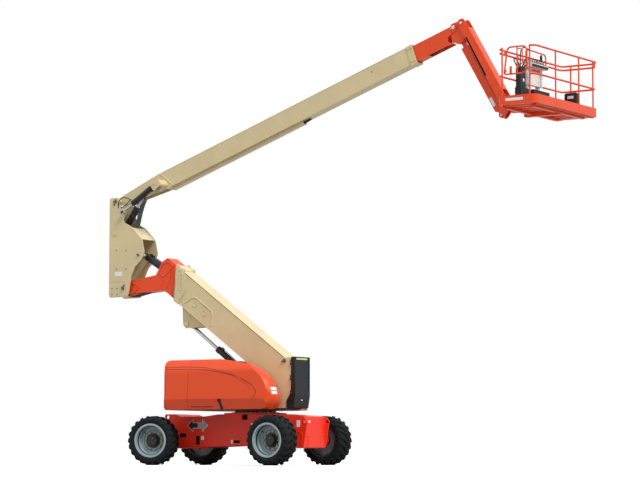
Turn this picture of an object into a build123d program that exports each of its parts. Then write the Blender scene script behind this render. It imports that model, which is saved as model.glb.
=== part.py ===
"""Articulating boom lift: a self-propelled work platform on four wheels, standing with its booms raised.

Millimetres, +Z up, +X from the tail counterweight towards the work platform, +Y to the left of that.
The origin is the ground point midway between the axles.
"""

import os
from functools import cache
from math import atan2, cos, degrees, hypot, pi, radians, sin

from build123d import *

# ---- wheels and axles ----
WHEELBASE = 3050
TRACK = 2030
TYRE_RADIUS = 508
TYRE_HALF_WIDTH = 222
CARCASS_RADIUS = 482
LUGS_PER_SIDE = 22
LUG_WIDTH = 62
LUG_SLANT = 24
RIM_RADIUS = 352
BEAD_RADIUS = 330
BEAD_HALF_WIDTH = 185
RIM_WALL = 14
HUB_RADIUS = 128
SPINDLE_RADIUS = 60
KINGPIN_OFFSET = 300
KINGPIN_RADIUS = 34
STEER_ANGLE = 14
STEER_ARM = 230
AXLE_HALF_DEPTH = 95
PIN_GAP = 0.5
PIN_RADIUS = 32
EYE_HALF_WIDTH = 35

# ---- chassis ----
FRAME_HALF_WIDTH = 420
FRAME_PLATE = 20
TIE_HOLES = [(-1520, 1000), (1930, 886)]
TIE_HOLE_RADIUS = 35
SWING_X = 420
TOP_PLATE_RADIUS = 650
TOP_PLATE_Z = 1075
BEARING_RADIUS = 430
BEARING_TOP = 1125

# ---- turntable ----
DECK_Z = 1130
DECK_THICKNESS = 35
HOOD_BOTTOM = 1135
DECK_TOP = DECK_Z + DECK_THICKNESS
SLOT_HALF_WIDTH = 300
HOOD_HALF_WIDTH = 1150
HOOD_TOP = 2175
HOOD_WALL = 20
HOOD_RECESS = 9
HOOD_LEDGE_Z = 1365
HOOD_SPLIT_X = -500
HINGE_Y = 305
RISER_HALF_WIDTH = 260
RISER_PLATE = 25

# ---- tower boom: pivots at its rear top corner, points towards -X ----
TOWER_PIVOT = (1320, 2140)
TOWER_ANGLE = 36
TOWER_LENGTH = 3470
TOWER_END_LEAN = 380
TOWER_TOP = 30
TOWER_BOTTOM = -595
TOWER_HALF_WIDTH = 205
TOWER_WALL = 12
FLY_TOP = -5
FLY_BOTTOM = -575
FLY_HALF_WIDTH = 172
TOWER_CYLINDER_BASE = (850, 1370)
TOWER_CYLINDER_EYE = (-1262, 2975)

# ---- upright ----
UPRIGHT_PIN = (-2860, 3780)
UPRIGHT_HALF_WIDTH = 250
UPRIGHT_PLATE = 20
LEVEL_BARREL_PIN = (-2446, 4472)
LEVEL_EYE = (-1104, 3654)

# ---- main boom: pivots on the upright's top, points towards +X ----
MAIN_PIVOT = (-3063, 5667)
MAIN_ANGLE = 19.4
MAIN_HALF_WIDTH = 118
MAIN_WALL = 8
MAIN_TOP = 158
MAIN_BOTTOM = -227
MAIN_LENGTH = 7850
MAIN_CYLINDER_BASE = (-3090, 4950)
MAIN_CYLINDER_EYE = (-2488, 5806)
MASTER_BARREL_PIN = (-1943, 5969)
MASTER_EYE = (-2835, 5410)
MASTER_Y = -310

# ---- jib and platform ----
KNUCKLE_PIN = (5235, 8688)
SLAVE_BARREL_PIN = (4250, 8120)
SLAVE_EYE = (5265, 8430)
JIB_UPPER_PIN = (5430, 8760)
JIB_LOWER_PIN = (5405, 8420)
JIB_LENGTH = 1815
JIB_ANGLE = -60
ROTATOR_X = 6560
PLATFORM_X = (6850, 7690)
PLATFORM_Y = (-1220, 1380)
PLATFORM_FLOOR = 6868
PLATFORM_PLATE = 10
TOE_BOARD_TOP = 7042
MID_RAIL = 7430
TOP_RAIL = 7975
REAR_RAILS = (7870, 7945)
RAIL_INSET = 40
RAIL_RADIUS = 19
POST_RADIUS = 16

JIB_STEP = (JIB_LENGTH * cos(radians(JIB_ANGLE)), JIB_LENGTH * sin(radians(JIB_ANGLE)))
BRACKET_UPPER_PIN = (JIB_UPPER_PIN[0] + JIB_STEP[0], JIB_UPPER_PIN[1] + JIB_STEP[1])
BRACKET_LOWER_PIN = (JIB_LOWER_PIN[0] + JIB_STEP[0], JIB_LOWER_PIN[1] + JIB_STEP[1])


# ---- shaping helpers ----
def block(x, y, z):
    """Box from three (low, high) pairs."""
    size = [b - a for a, b in (x, y, z)]
    middle = [(a + b) / 2 for a, b in (x, y, z)]
    return Pos(*middle) * Box(*size)


def profile(points):
    """Closed outline from rows of (across, up, corner radius)."""
    corners = [(p[0], p[1]) for p in points]
    return FilletPolyline(*corners, radius=[p[2] for p in points], close=True)


def plate(points, low_y, high_y):
    """Side outline of (x, z, corner radius) rows, as thick as low_y to high_y."""
    face = make_face(Plane.XZ.offset(-high_y) * profile(points))
    return extrude(face, amount=high_y - low_y, dir=(0, -1, 0))


def both_sides(points, inner, outer):
    """A like plate on each side of the centre plane."""
    return plate(points, inner, outer) + plate(points, -outer, -inner)


def flat(points, low_z, high_z):
    """Plan outline of (x, y, corner radius) rows, from low_z to high_z."""
    face = make_face(Plane.XY.offset(low_z) * profile(points))
    return extrude(face, amount=high_z - low_z, dir=(0, 0, 1))


def pin(at, radius, low_y, high_y):
    """Cylinder across the machine at a side-view point."""
    base = Plane(origin=(at[0], low_y, at[1]), x_dir=(1, 0, 0), z_dir=(0, 1, 0))
    return base * Cylinder(radius, high_y - low_y, align=(Align.CENTER, Align.CENTER, Align.MIN))


def post(x, y, radius, low_z, high_z):
    """Upright cylinder."""
    return Pos(x, y, low_z) * Cylinder(radius, high_z - low_z, align=(Align.CENTER, Align.CENTER, Align.MIN))


def bar(start, end, radius):
    """Cylinder between two points."""
    run = Vector(*end) - Vector(*start)
    return Plane(origin=start, z_dir=run) * Cylinder(
        radius, run.length, align=(Align.CENTER, Align.CENTER, Align.MIN)
    )


def tilted(shape, pivot, angle):
    """Raise a shape that points along +X from the pivot: a positive angle lifts it."""
    turn = Pos(pivot[0], 0, pivot[1]) * Rot(0, -angle, 0)
    return turn * shape


def mirrored(shape):
    return mirror(shape, about=Plane.XZ)


def tube_path(points, radii, radius):
    """Round tube along straight runs joined by bends."""
    if len(points) == 2:
        return bar(points[0], points[1], radius)
    path = FilletPolyline(*points, radius=radii)
    section = Plane(origin=path @ 0, z_dir=path % 0) * Circle(radius)
    return sweep(section, path=path)


def length_and_angle(start, end):
    run = (end[0] - start[0], end[1] - start[1])
    return hypot(*run), degrees(atan2(run[1], run[0]))


def cylinder_pair(barrel_pin, eye, barrel_length, barrel_radius, rod_radius, retract, y=0):
    """Hydraulic cylinder lying from its barrel's pin to its rod's eye: (barrel, rod)."""
    length, angle = length_and_angle(barrel_pin, eye)
    half_width = EYE_HALF_WIDTH
    tube_start = PIN_RADIUS + 28
    bore_start = tube_start + 40
    tube = bar((tube_start, 0, 0), (barrel_length, 0, 0), barrel_radius)
    gland = bar((barrel_length - 60, 0, 0), (barrel_length, 0, 0), barrel_radius + 6)
    eye_end = pin((0, 0), PIN_RADIUS + 22, -half_width, half_width)
    eye_end += block((0, tube_start + 5), (-half_width + 2, half_width - 2), (-PIN_RADIUS, PIN_RADIUS))
    pin_bore = pin((0, 0), PIN_RADIUS + PIN_GAP, -300, 300)
    rod_bore = bar((bore_start, 0, 0), (barrel_length + 10, 0, 0), rod_radius + PIN_GAP)
    barrel = tube + gland + eye_end - pin_bore - rod_bore
    rod = bar((bore_start + retract + 10, 0, 0), (length, 0, 0), rod_radius)
    rod += pin((length, 0), rod_radius * 1.55, -half_width, half_width)
    rod -= pin((length, 0), rod_radius * 0.9, -300, 300)
    place = Pos(0, y, 0)
    return tilted(place * barrel, barrel_pin, angle), tilted(place * rod, barrel_pin, angle)



# ---- wheels ----
def tread_lugs():
    """Slanted bars round the tread, those of one side standing between those of the other."""
    # rows: (along the axle, radius, corner radius)
    outline = [
        (-12, CARCASS_RADIUS - 30, 0), (-12, TYRE_RADIUS - 1, 0), (TYRE_HALF_WIDTH - 42, TYRE_RADIUS - 3, 0),
        (TYRE_HALF_WIDTH, TYRE_RADIUS - 42, 0), (TYRE_HALF_WIDTH, 420, 0), (TYRE_HALF_WIDTH - 40, 420, 0),
    ]
    bar_shape = extrude(make_face(Plane.YZ.offset(-LUG_WIDTH / 2) * profile(outline)), amount=LUG_WIDTH, dir=(1, 0, 0))
    left = Rot(0, 0, LUG_SLANT) * bar_shape
    right = mirrored(left)
    pitch = 360 / LUGS_PER_SIDE
    lugs = []
    for i in range(LUGS_PER_SIDE):
        lugs.append(Rot(0, i * pitch, 0) * left)
        lugs.append(Rot(0, (i + 0.5) * pitch, 0) * right)
    return lugs


def wheel_parts():
    """Tyre, rim and hub about the Y axis, outer face towards +Y."""
    def turned(rows):
        return revolve(make_face(Plane.XY * profile(rows)), axis=Axis.Y)

    # rows: (radius, along the axle, corner radius)
    carcass = CARCASS_RADIUS
    tyre_rows = [
        (BEAD_RADIUS, -BEAD_HALF_WIDTH, 0),
        (RIM_RADIUS + 3, -BEAD_HALF_WIDTH, 0),
        (RIM_RADIUS + 25, -TYRE_HALF_WIDTH + 14, 12),
        (430, -TYRE_HALF_WIDTH + 8, 20),
        (carcass, -TYRE_HALF_WIDTH + 42, 25),
        (carcass, TYRE_HALF_WIDTH - 42, 25),
        (430, TYRE_HALF_WIDTH - 8, 20),
        (RIM_RADIUS + 25, TYRE_HALF_WIDTH - 14, 12),
        (RIM_RADIUS + 3, BEAD_HALF_WIDTH, 0),
        (BEAD_RADIUS, BEAD_HALF_WIDTH, 0),
    ]
    tyre = turned(tyre_rows) + tread_lugs()
    inner = BEAD_RADIUS - RIM_WALL
    lip = BEAD_HALF_WIDTH + 14
    rim_rows = [
        (HUB_RADIUS - 30, -20, 0),
        (inner, -20, 0),
        (inner, -lip, 0),
        (RIM_RADIUS, -lip, 5),
        (RIM_RADIUS, -BEAD_HALF_WIDTH, 0),
        (BEAD_RADIUS, -BEAD_HALF_WIDTH, 0),
        (BEAD_RADIUS, BEAD_HALF_WIDTH, 0),
        (RIM_RADIUS, BEAD_HALF_WIDTH, 0),
        (RIM_RADIUS, lip, 5),
        (inner, lip, 0),
        (inner, 0, 25),
        (HUB_RADIUS - 30, 0, 0),
    ]
    rim = turned(rim_rows)
    hub_rows = [
        (SPINDLE_RADIUS + PIN_GAP, -110, 0),
        (HUB_RADIUS - 32, -110, 0),
        (HUB_RADIUS - 32, 0, 0),
        (HUB_RADIUS + 25, 0, 0),
        (HUB_RADIUS + 25, 22, 4),
        (HUB_RADIUS - 12, 22, 0),
        (HUB_RADIUS - 22, 90, 12),
        (0, 90, 0),
        (0, 60, 0),
        (SPINDLE_RADIUS + PIN_GAP, 60, 0),
    ]
    hub = turned(hub_rows)
    return tyre, rim, hub


def wheel_place(front, side):
    """Where a wheel's centre stands, and how far it is turned; side is -1 near, +1 far."""
    x = -WHEELBASE / 2 if front else WHEELBASE / 2
    outward = Rot(0, 0, 0) if side > 0 else Rot(0, 0, 180)
    if not front:
        return Pos(x, side * TRACK / 2, TYRE_RADIUS) * outward
    kingpin = Pos(x, side * (TRACK / 2 - KINGPIN_OFFSET), TYRE_RADIUS)
    return kingpin * Rot(0, 0, STEER_ANGLE) * Pos(0, side * KINGPIN_OFFSET, 0) * outward


def wheels():
    pieces = {}
    tyre, rim, hub = wheel_parts()
    for end, front in (("steer", True), ("fixed", False)):
        for name, side in (("near", -1), ("far", 1)):
            place = wheel_place(front, side)
            pieces[f"tyre_{end}_{name}"] = place * tyre
            pieces[f"rim_{end}_{name}"] = place * rim
            pieces[f"hub_{end}_{name}"] = place * hub
    return pieces


# ---- chassis ----
def chassis_frame():
    side_rows = [
        (-1600, 345, 40), (-1600, 1062, 40), (-1320, 1062, 30), (-1190, 1010, 0),
        (-560, 1010, 0), (-230, 1050, 0), (1100, 1050, 0), (1690, 1015, 0), (1905, 985, 60),
        (1980, 900, 60), (1885, 360, 20), (1700, 345, 0), (300, 405, 0), (-1400, 345, 0),
    ]
    outer = plate(side_rows, -FRAME_HALF_WIDTH, FRAME_HALF_WIDTH)
    inside = FRAME_HALF_WIDTH - FRAME_PLATE
    cavity = block((-1560, 1860), (-inside, inside), (380, 985))
    belly = block((-900, 900), (-260, 260), (300, 500))
    end_left = block((-1700, -1559), (-inside, inside), (700, 1100))
    lug_gap = block((1880, 2000), (-inside, inside), (300, 1100))
    ears_gap = block((-1700, -1330), (-inside, inside), (980, 1100))
    frame = outer - cavity - belly - end_left - lug_gap - ears_gap
    for x, z in TIE_HOLES:
        frame -= pin((x, z), TIE_HOLE_RADIUS, -FRAME_HALF_WIDTH - 10, FRAME_HALF_WIDTH + 10)
    frame += post(SWING_X, 0, TOP_PLATE_RADIUS, 1050, TOP_PLATE_Z)
    return frame


def swing_bearing():
    return post(SWING_X, 0, BEARING_RADIUS, TOP_PLATE_Z, BEARING_TOP)


def fixed_axle():
    x = WHEELBASE / 2
    depth = AXLE_HALF_DEPTH
    rows = [
        (x - 190, FRAME_HALF_WIDTH, 0), (x + 190, FRAME_HALF_WIDTH, 0), (x + 190, FRAME_HALF_WIDTH + 25, 0),
        (x + depth, FRAME_HALF_WIDTH + 25, 0), (x + depth, 700, 0), (x - depth, 700, 0),
        (x - depth, FRAME_HALF_WIDTH + 25, 0), (x - 190, FRAME_HALF_WIDTH + 25, 0),
    ]
    beam = flat(rows, TYRE_RADIUS - depth, TYRE_RADIUS + depth)
    housing = pin((x, TYRE_RADIUS), 150, 660, 860)
    spindle = pin((x, TYRE_RADIUS), SPINDLE_RADIUS, 860, TRACK / 2 + 55)
    half = beam + housing + spindle
    return Compound(children=[half, mirrored(half)])


def steer_axle():
    x = -WHEELBASE / 2
    depth = AXLE_HALF_DEPTH
    kingpin = TRACK / 2 - KINGPIN_OFFSET
    centre = TYRE_RADIUS
    beam = block((x - depth, x + depth), (FRAME_HALF_WIDTH, kingpin - 115), (centre - depth, centre + depth))
    root = block((x - 70, x + 190), (FRAME_HALF_WIDTH, FRAME_HALF_WIDTH + 25), (centre - 150, centre + 150))
    head = block((x - 60, x + 60), (kingpin - 135, kingpin - 95), (centre - 185, centre + 185))
    half = beam + root + head
    for low, high in ((centre - 185, centre - 150), (centre + 150, centre + 185)):
        ear = block((x - 60, x + 60), (kingpin - 115, kingpin), (low, high)) + post(x, kingpin, 60, low, high)
        half += ear - post(x, kingpin, KINGPIN_RADIUS + PIN_GAP, low - 5, high + 5)
    return Compound(children=[half, mirrored(half)])


def steer_knuckle(side):
    """Kingpin barrel, spindle and steering arm, built straight ahead and then turned."""
    barrel = post(0, 0, 62, -144, 144) + post(0, 0, KINGPIN_RADIUS, -200, 200)
    spindle = pin((0, 0), SPINDLE_RADIUS, 0, KINGPIN_OFFSET + 55)
    arm = block((-STEER_ARM, 0), (-28, 28), (-100, -70)) + post(-STEER_ARM, 0, 32, -100, -70)
    ball_pin = post(-STEER_ARM, 0, 15, -100, -20)
    web = block((-90, 0), (-12, 12), (-85, 60))
    flange = pin((0, 0), 110, 70, 100)
    straight = barrel + spindle + arm + ball_pin + web + flange
    if side < 0:
        straight = mirrored(straight)
    place = Pos(-WHEELBASE / 2, side * (TRACK / 2 - KINGPIN_OFFSET), TYRE_RADIUS) * Rot(0, 0, STEER_ANGLE)
    return place * straight


def tie_rod():
    turn = radians(STEER_ANGLE)
    kingpin = TRACK / 2 - KINGPIN_OFFSET
    x = -WHEELBASE / 2 - STEER_ARM * cos(turn)
    shift = -STEER_ARM * sin(turn)
    z = TYRE_RADIUS - 43
    rod = bar((x, -kingpin + shift, z), (x, kingpin + shift, z), 16)
    for side in (-1, 1):
        end = (x, side * kingpin + shift)
        rod += post(*end, 36, z - 20, z + 20)
        rod -= post(*end, 15 + PIN_GAP, z - 30, z + 30)
    return rod


# ---- turntable ----
def deck_rows(grown):
    """Outline of the deck, drawn outwards all round by the amount grown."""
    return [
        (-1000 - grown, -1050 - grown, 60), (1000 + grown, -1050 - grown, 200), (1000 + grown, -330 - grown, 20),
        (1374 + grown, -262 - grown, 20), (1374 + grown, 262 + grown, 20), (1000 + grown, 330 + grown, 20),
        (880 + grown, 1050 + grown, 200), (-1000 - grown, 1050 + grown, 60),
    ]


def turntable_deck():
    return flat(deck_rows(0), DECK_Z, DECK_TOP)


RISER_ROWS = [
    (-150, DECK_TOP, 0), (-150, 1500, 60), (700, 2050, 200), (1160, 2200, 40), (1485, 2200, 20),
    (1485, 1480, 0), (1375, 1326, 0), (1375, DECK_TOP, 0),
]


def boom_riser():
    inner = RISER_HALF_WIDTH - RISER_PLATE
    riser = both_sides(RISER_ROWS, inner, RISER_HALF_WIDTH)
    riser += block((1455, 1485), (-inner, inner), (1500, 1980))
    riser += block((-100, 1300), (-inner, inner), (DECK_TOP, DECK_TOP + 20))
    for at, radius in ((TOWER_PIVOT, 45), (TOWER_CYLINDER_BASE, PIN_RADIUS)):
        riser += pin(at, radius, -RISER_HALF_WIDTH - 15, RISER_HALF_WIDTH + 15)
    return riser


HOOD_SIDE_ROWS = [
    (-1130, 1090, 0), (-1265, 1335, 60), (-1160, HOOD_TOP, 90), (860, HOOD_TOP, 1300), (1420, 1800, 700),
    (1600, 1370, 340), (1430, 1090, 60),
]
# the nose seen from the side, at NOSE_Y out from the centre plane
NOSE_ROWS = [
    (-1500, 1090, 0), (1060, 1090, 0), (1340, 1166, 50), (1425, 1290, 80), (1425, 1410, 230), (1190, 1800, 700), (840, 2042, 900),
    (-200, 2192, 0), (-1500, 2300, 0),
]
NOSE_Y = 550
# plan outlines of (x, y, corner radius) at the nose, from the boom slot outwards: the far housing is the shorter
NEAR_NOSE = [(1250, SLOT_HALF_WIDTH, 0), (1610, 830, 220), (1570, HOOD_HALF_WIDTH, 260)]
NOSE_SLANT = ((1610 - 1250) / (830 - SLOT_HALF_WIDTH), 95)
FAR_NOSE = [(1230, SLOT_HALF_WIDTH, 0), (1330, 560, 150), (1080, 960, 250), (930, HOOD_HALF_WIDTH, 200)]


# rows: how far in from the outer face the outline starts to draw in, at what taper
SHOULDER_STEPS = ((210, 12), (140, 30), (80, 52))


def shouldered(rows, outer):
    """Side outline carried out to the outer face, drawn in towards it like a round shoulder."""
    body = None
    for distance, taper in SHOULDER_STEPS:
        start = outer - distance
        face = make_face(Plane.XZ.offset(-start) * profile(rows))
        slab = plate(rows, 0, start) + extrude(face, amount=distance, dir=(0, 1, 0), taper=taper)
        body = slab if body is None else body & slab
    return body


@cache
def hood_envelope(inset, side):
    """Rounded housing over one side of the turntable, drawn in by the inset."""
    def drawn(rows, middle):
        moved = []
        for a, b, r in rows:
            moved.append((
                a - inset if a > middle[0] else a + inset,
                b - inset if b > middle[1] else b + inset,
                max(r - inset, 0),
            ))
        return moved

    inner = SLOT_HALF_WIDTH + inset
    outer = HOOD_HALF_WIDTH - inset
    side_face = shouldered(drawn(HOOD_SIDE_ROWS, (300, 1500)), outer)
    nose = NEAR_NOSE if side < 0 else FAR_NOSE
    plan = flat(
        [(-1290 + inset, inner, 0)] + drawn(nose, (0, 700)) + [(-1290 + inset, outer, 70 - inset)], 900, 2400
    )
    slant, shorter = NOSE_SLANT
    if side < 0:
        shift = (inner - NOSE_Y) * slant
        reach = outer - inner + 20
        cut_rows = [(x + shift, z, r) for x, z, r in drawn(NOSE_ROWS, (300, 1500))]
        cut_face = make_face(Plane.XZ.offset(-inner) * profile(cut_rows))
        nose_cut = extrude(cut_face, amount=reach * hypot(1, slant), dir=(slant, 1, 0))
    else:
        cut_rows = [(x - shorter, z, r) for x, z, r in drawn(NOSE_ROWS, (300, 1500))]
        nose_cut = plate(cut_rows, inner, outer + 20)
    rows = [
        (inner, 1090 + inset, 0), (1082 - inset, 1090 + inset, 20), (outer, 1350, 50), (1100 - inset, 1950, 180),
        (940 - inset, HOOD_TOP - inset, 190), (inner, HOOD_TOP - inset, 0),
    ]
    section = extrude(make_face(Plane.YZ.offset(-1400) * profile(rows)), amount=3600, dir=(1, 0, 0))
    shape = side_face & plan & section & nose_cut
    return shape if side > 0 else mirrored(shape)


# side outline of the shallow panel above the ledge; it runs on over the counterweight
PANEL_ROWS = [
    (-1400, HOOD_LEDGE_Z, 0), (-1400, 2020, 0), (-500, 2020, 0), (-100, 2000, 400), (560, 1880, 500),
    (1010, 1640, 180), (1080, 1480, 100), (960, HOOD_LEDGE_Z, 50),
]


def panel_recess(side):
    """What the shallow panel takes off the hood's outside."""
    low, high = sorted((side * 700, side * (HOOD_HALF_WIDTH + 50)))
    return plate(PANEL_ROWS, low, high) - hood_envelope(HOOD_RECESS, side)


def hood(side):
    shell = hood_envelope(0, side) - hood_envelope(HOOD_WALL, side) - panel_recess(side)
    low, high = sorted((side * (SLOT_HALF_WIDTH - 5), side * (HOOD_HALF_WIDTH + 50)))
    keep = block((HOOD_SPLIT_X, 1900), (low, high), (HOOD_BOTTOM, 2300))
    open_low, open_high = sorted((side * (SLOT_HALF_WIDTH - 10), side * (SLOT_HALF_WIDTH + HOOD_WALL + 2)))
    inner_side = block((-600, 1900), (open_low, open_high), (1000, HOOD_TOP - 40))
    hinge = bar((HOOD_SPLIT_X + 5, side * HINGE_Y, HOOD_TOP), (HOOD_SPLIT_X + 170, side * HINGE_Y, HOOD_TOP), 13)
    pin_bore = bar((HOOD_SPLIT_X, side * HINGE_Y, HOOD_TOP), (HOOD_SPLIT_X + 180, side * HINGE_Y, HOOD_TOP), 7.5)
    deck_room = flat(deck_rows(8), HOOD_BOTTOM - 50, DECK_TOP + 8)
    return (shell & keep) - inner_side - deck_room + hinge - pin_bore


def counterweight():
    """Two castings, one each side of the boom slot, shaped like the hoods they carry on from."""
    sides = []
    for side in (-1, 1):
        low, high = sorted((side * SLOT_HALF_WIDTH, side * (HOOD_HALF_WIDTH + 50)))
        keep = block((-1400, HOOD_SPLIT_X - 8), (low, high), (HOOD_BOTTOM, 2300))
        keep -= block((-1010, 0), (-1060, 1060), (HOOD_BOTTOM - 10, DECK_TOP))
        casting = (hood_envelope(0, side) & keep) - panel_recess(side)
        casting += bar((HOOD_SPLIT_X - 60, side * HINGE_Y, HOOD_TOP), (HOOD_SPLIT_X - 8, side * HINGE_Y, HOOD_TOP), 13)
        casting += bar((HOOD_SPLIT_X - 20, side * HINGE_Y, HOOD_TOP), (HOOD_SPLIT_X + 165, side * HINGE_Y, HOOD_TOP), 7)
        sides.append(casting)
    return Compound(children=sides)


def front_cover():
    rows = [
        (1376, 1170, 0), (1376, 1324, 0), (1486, 1478, 0), (1486, 2190, 0), (1500, 2215, 12), (1590, 2215, 25),
        (1590, 1420, 0), (1550, 1170, 20),
    ]
    half = 275
    cover = plate(rows, -half, half)
    cover -= block((1505, 1570), (-half + 40, half - 40), (2180, 2230))
    cover -= block((1582, 1600), (-half + 35, half - 35), (1500, 2150))
    for side in (-1, 1):
        cover -= block((1530, 1565), sorted((side * (half - 12), side * (half + 5))), (1335, 1360))
    return cover


def engine_block():
    return block((-250, 500), (480, 930), (DECK_TOP, 1750))


def hydraulic_tank():
    return block((-250, 400), (-930, -480), (DECK_TOP, 1700))


# ---- tower boom ----
def tower_placed(shape):
    """Local x runs up the boom, which points to -X: built pointing +X, then turned about and raised."""
    pivot = Pos(TOWER_PIVOT[0], 0, TOWER_PIVOT[1])
    return pivot * Rot(0, TOWER_ANGLE, 0) * Rot(0, 0, 180) * shape


def tower_local(at):
    """(along, up) in the tower boom's own frame."""
    turn = radians(TOWER_ANGLE)
    dx, dz = TOWER_PIVOT[0] - at[0], at[1] - TOWER_PIVOT[1]
    return dx * cos(turn) + dz * sin(turn), dz * cos(turn) - dx * sin(turn)


def oval_rows(x, low, high, half_width):
    return [
        (x - half_width, low, half_width - 1), (x + half_width, low, half_width - 1),
        (x + half_width, high, half_width - 1), (x - half_width, high, half_width - 1),
    ]


def tower_boom_base():
    low_end = TOWER_LENGTH - TOWER_END_LEAN
    rows = [
        (-75, TOWER_TOP, 40), (TOWER_LENGTH, TOWER_TOP, 0), (low_end, TOWER_BOTTOM, 0),
        (620, TOWER_BOTTOM, 100), (-75, -120, 60),
    ]
    body = plate(rows, -TOWER_HALF_WIDTH, TOWER_HALF_WIDTH)
    wall = TOWER_WALL
    bore = block(
        (420, TOWER_LENGTH + 10), (wall - TOWER_HALF_WIDTH, TOWER_HALF_WIDTH - wall),
        (TOWER_BOTTOM + wall, TOWER_TOP - wall),
    )
    collar_rows = [
        (TOWER_LENGTH + 8, TOWER_TOP + 14, 0), (TOWER_LENGTH - 210, TOWER_TOP + 14, 0),
        (low_end - 128, TOWER_BOTTOM - 14, 0), (low_end - 8, TOWER_BOTTOM - 14, 0),
    ]
    collar = plate(collar_rows, -TOWER_HALF_WIDTH - 14, TOWER_HALF_WIDTH + 14)
    cheek_rows = [
        (TOWER_LENGTH + 10, TOWER_TOP + 18, 20), (TOWER_LENGTH - 190, TOWER_TOP + 30, 40),
        (TOWER_LENGTH - 340, -60, 150), (TOWER_LENGTH - 505, -290, 200), (low_end - 135, TOWER_BOTTOM - 14, 30),
        (low_end + 2, TOWER_BOTTOM - 14, 30), (TOWER_LENGTH - 250, -400, 100),
    ]
    cheeks = both_sides(cheek_rows, TOWER_HALF_WIDTH, TOWER_HALF_WIDTH + 18)
    oval_cut = both_sides(oval_rows(0, -135, 135, 38), TOWER_HALF_WIDTH + 12, TOWER_HALF_WIDTH + 30)
    cheeks -= Pos(TOWER_LENGTH - 305, 0, -185) * Rot(0, 32, 0) * oval_cut
    body = body + collar + cheeks - bore
    eye = tower_local(TOWER_CYLINDER_EYE)
    lug_rows = [
        (2100, TOWER_BOTTOM, 0), (eye[0] - 120, eye[1] - 30, 60), (eye[0] - 40, eye[1] - 100, 60),
        (eye[0] + 70, eye[1] - 70, 60), (2900, TOWER_BOTTOM, 0),
    ]
    body += both_sides(lug_rows, 95, 120)
    for side in (-1, 1):
        body += pin(eye, 50, *sorted((side * 50, side * 140)))
    body -= pin((0, 0), 45 + PIN_GAP, -400, 400)
    return tower_placed(body)


def tower_fly():
    wall = 10
    tube = block((750, 3500), (-FLY_HALF_WIDTH, FLY_HALF_WIDTH), (FLY_BOTTOM, FLY_TOP))
    tube -= block((700, 3600), (wall - FLY_HALF_WIDTH, FLY_HALF_WIDTH - wall), (FLY_BOTTOM + wall, FLY_TOP - wall))
    end = tower_local(UPRIGHT_PIN)
    neck_rows = [
        (3482, 18, 0), (3790, 18, 30), (3865, -135, 20), (3832, -450, 40), (4300, -900, 40),
        (end[0] + 85, end[1] + 70, 60), (end[0] + 60, end[1] - 90, 60), (end[0] - 110, end[1] - 90, 40),
        (3480, -590, 60), (3112, -590, 0),
    ]
    neck = both_sides(neck_rows, FLY_HALF_WIDTH - 20, FLY_HALF_WIDTH)
    inside = FLY_HALF_WIDTH - 20
    neck += block((3490, 3780), (-inside, inside), (2, 18))
    neck += block((3120, 3500), (-inside, inside), (-590, -575))
    slope = [
        (3470, -590, 0), (end[0] - 130, end[1] - 75, 0), (end[0] - 118, end[1] - 62, 0), (3482, -577, 0),
    ]
    neck += plate(slope, -inside, inside)
    eye = tower_local(LEVEL_EYE)
    ear_rows = [
        (eye[0] - 60, FLY_TOP - wall, 0), (eye[0] - 45, eye[1] - 45, 30), (eye[0] + 45, eye[1] - 45, 30),
        (eye[0] + 60, FLY_TOP - wall, 0),
    ]
    neck += both_sides(ear_rows, 50, 65)
    fly = tube + neck - pin(end, 45 + PIN_GAP, -400, 400)
    return tower_placed(fly)


# ---- upright ----
UPRIGHT_ROWS = [
    (-3240, 5735, 60), (-2990, 5735, 60), (-2950, 5420, 60), (-2828, 5179, 40), (-2639, 5083, 40),
    (-2368, 4812, 120), (-2299, 4508, 100), (-2391, 4362, 60), (-2551, 4219, 60), (-2657, 4008, 80),
    (-2682, 3837, 0), (-2734, 3590, 90), (-3248, 3578, 60),
]


def upright():
    inner = UPRIGHT_HALF_WIDTH - UPRIGHT_PLATE
    body = both_sides(UPRIGHT_ROWS, inner, UPRIGHT_HALF_WIDTH)
    body += block((-3240, -3222), (-inner, inner), (3980, 5480))
    cross_rows = [(-2640, 5070, 0), (-2380, 4810, 0), (-2392, 4798, 0), (-2652, 5058, 0)]
    body += plate(cross_rows, -inner, inner)
    ear_rows = [(-3000, 5600, 0), (-2850, 5500, 60), (-2800, 5400, 50), (-2880, 5200, 40), (-3000, 5200, 0)]
    body += plate(ear_rows, -UPRIGHT_HALF_WIDTH, -inner)
    outside = UPRIGHT_HALF_WIDTH + 15
    for at, radius in ((UPRIGHT_PIN, 45), (LEVEL_BARREL_PIN, PIN_RADIUS), (MAIN_CYLINDER_BASE, PIN_RADIUS)):
        body += pin(at, radius, -outside, outside)
    for side in (-1, 1):
        body += pin(MAIN_PIVOT, 42, *sorted((side * 90, side * outside)))
    return body


# ---- main boom ----
def main_placed(shape):
    return tilted(shape, MAIN_PIVOT, MAIN_ANGLE)


def main_local(at):
    turn = radians(MAIN_ANGLE)
    dx, dz = at[0] - MAIN_PIVOT[0], at[1] - MAIN_PIVOT[1]
    return dx * cos(turn) + dz * sin(turn), dz * cos(turn) - dx * sin(turn)


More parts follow.
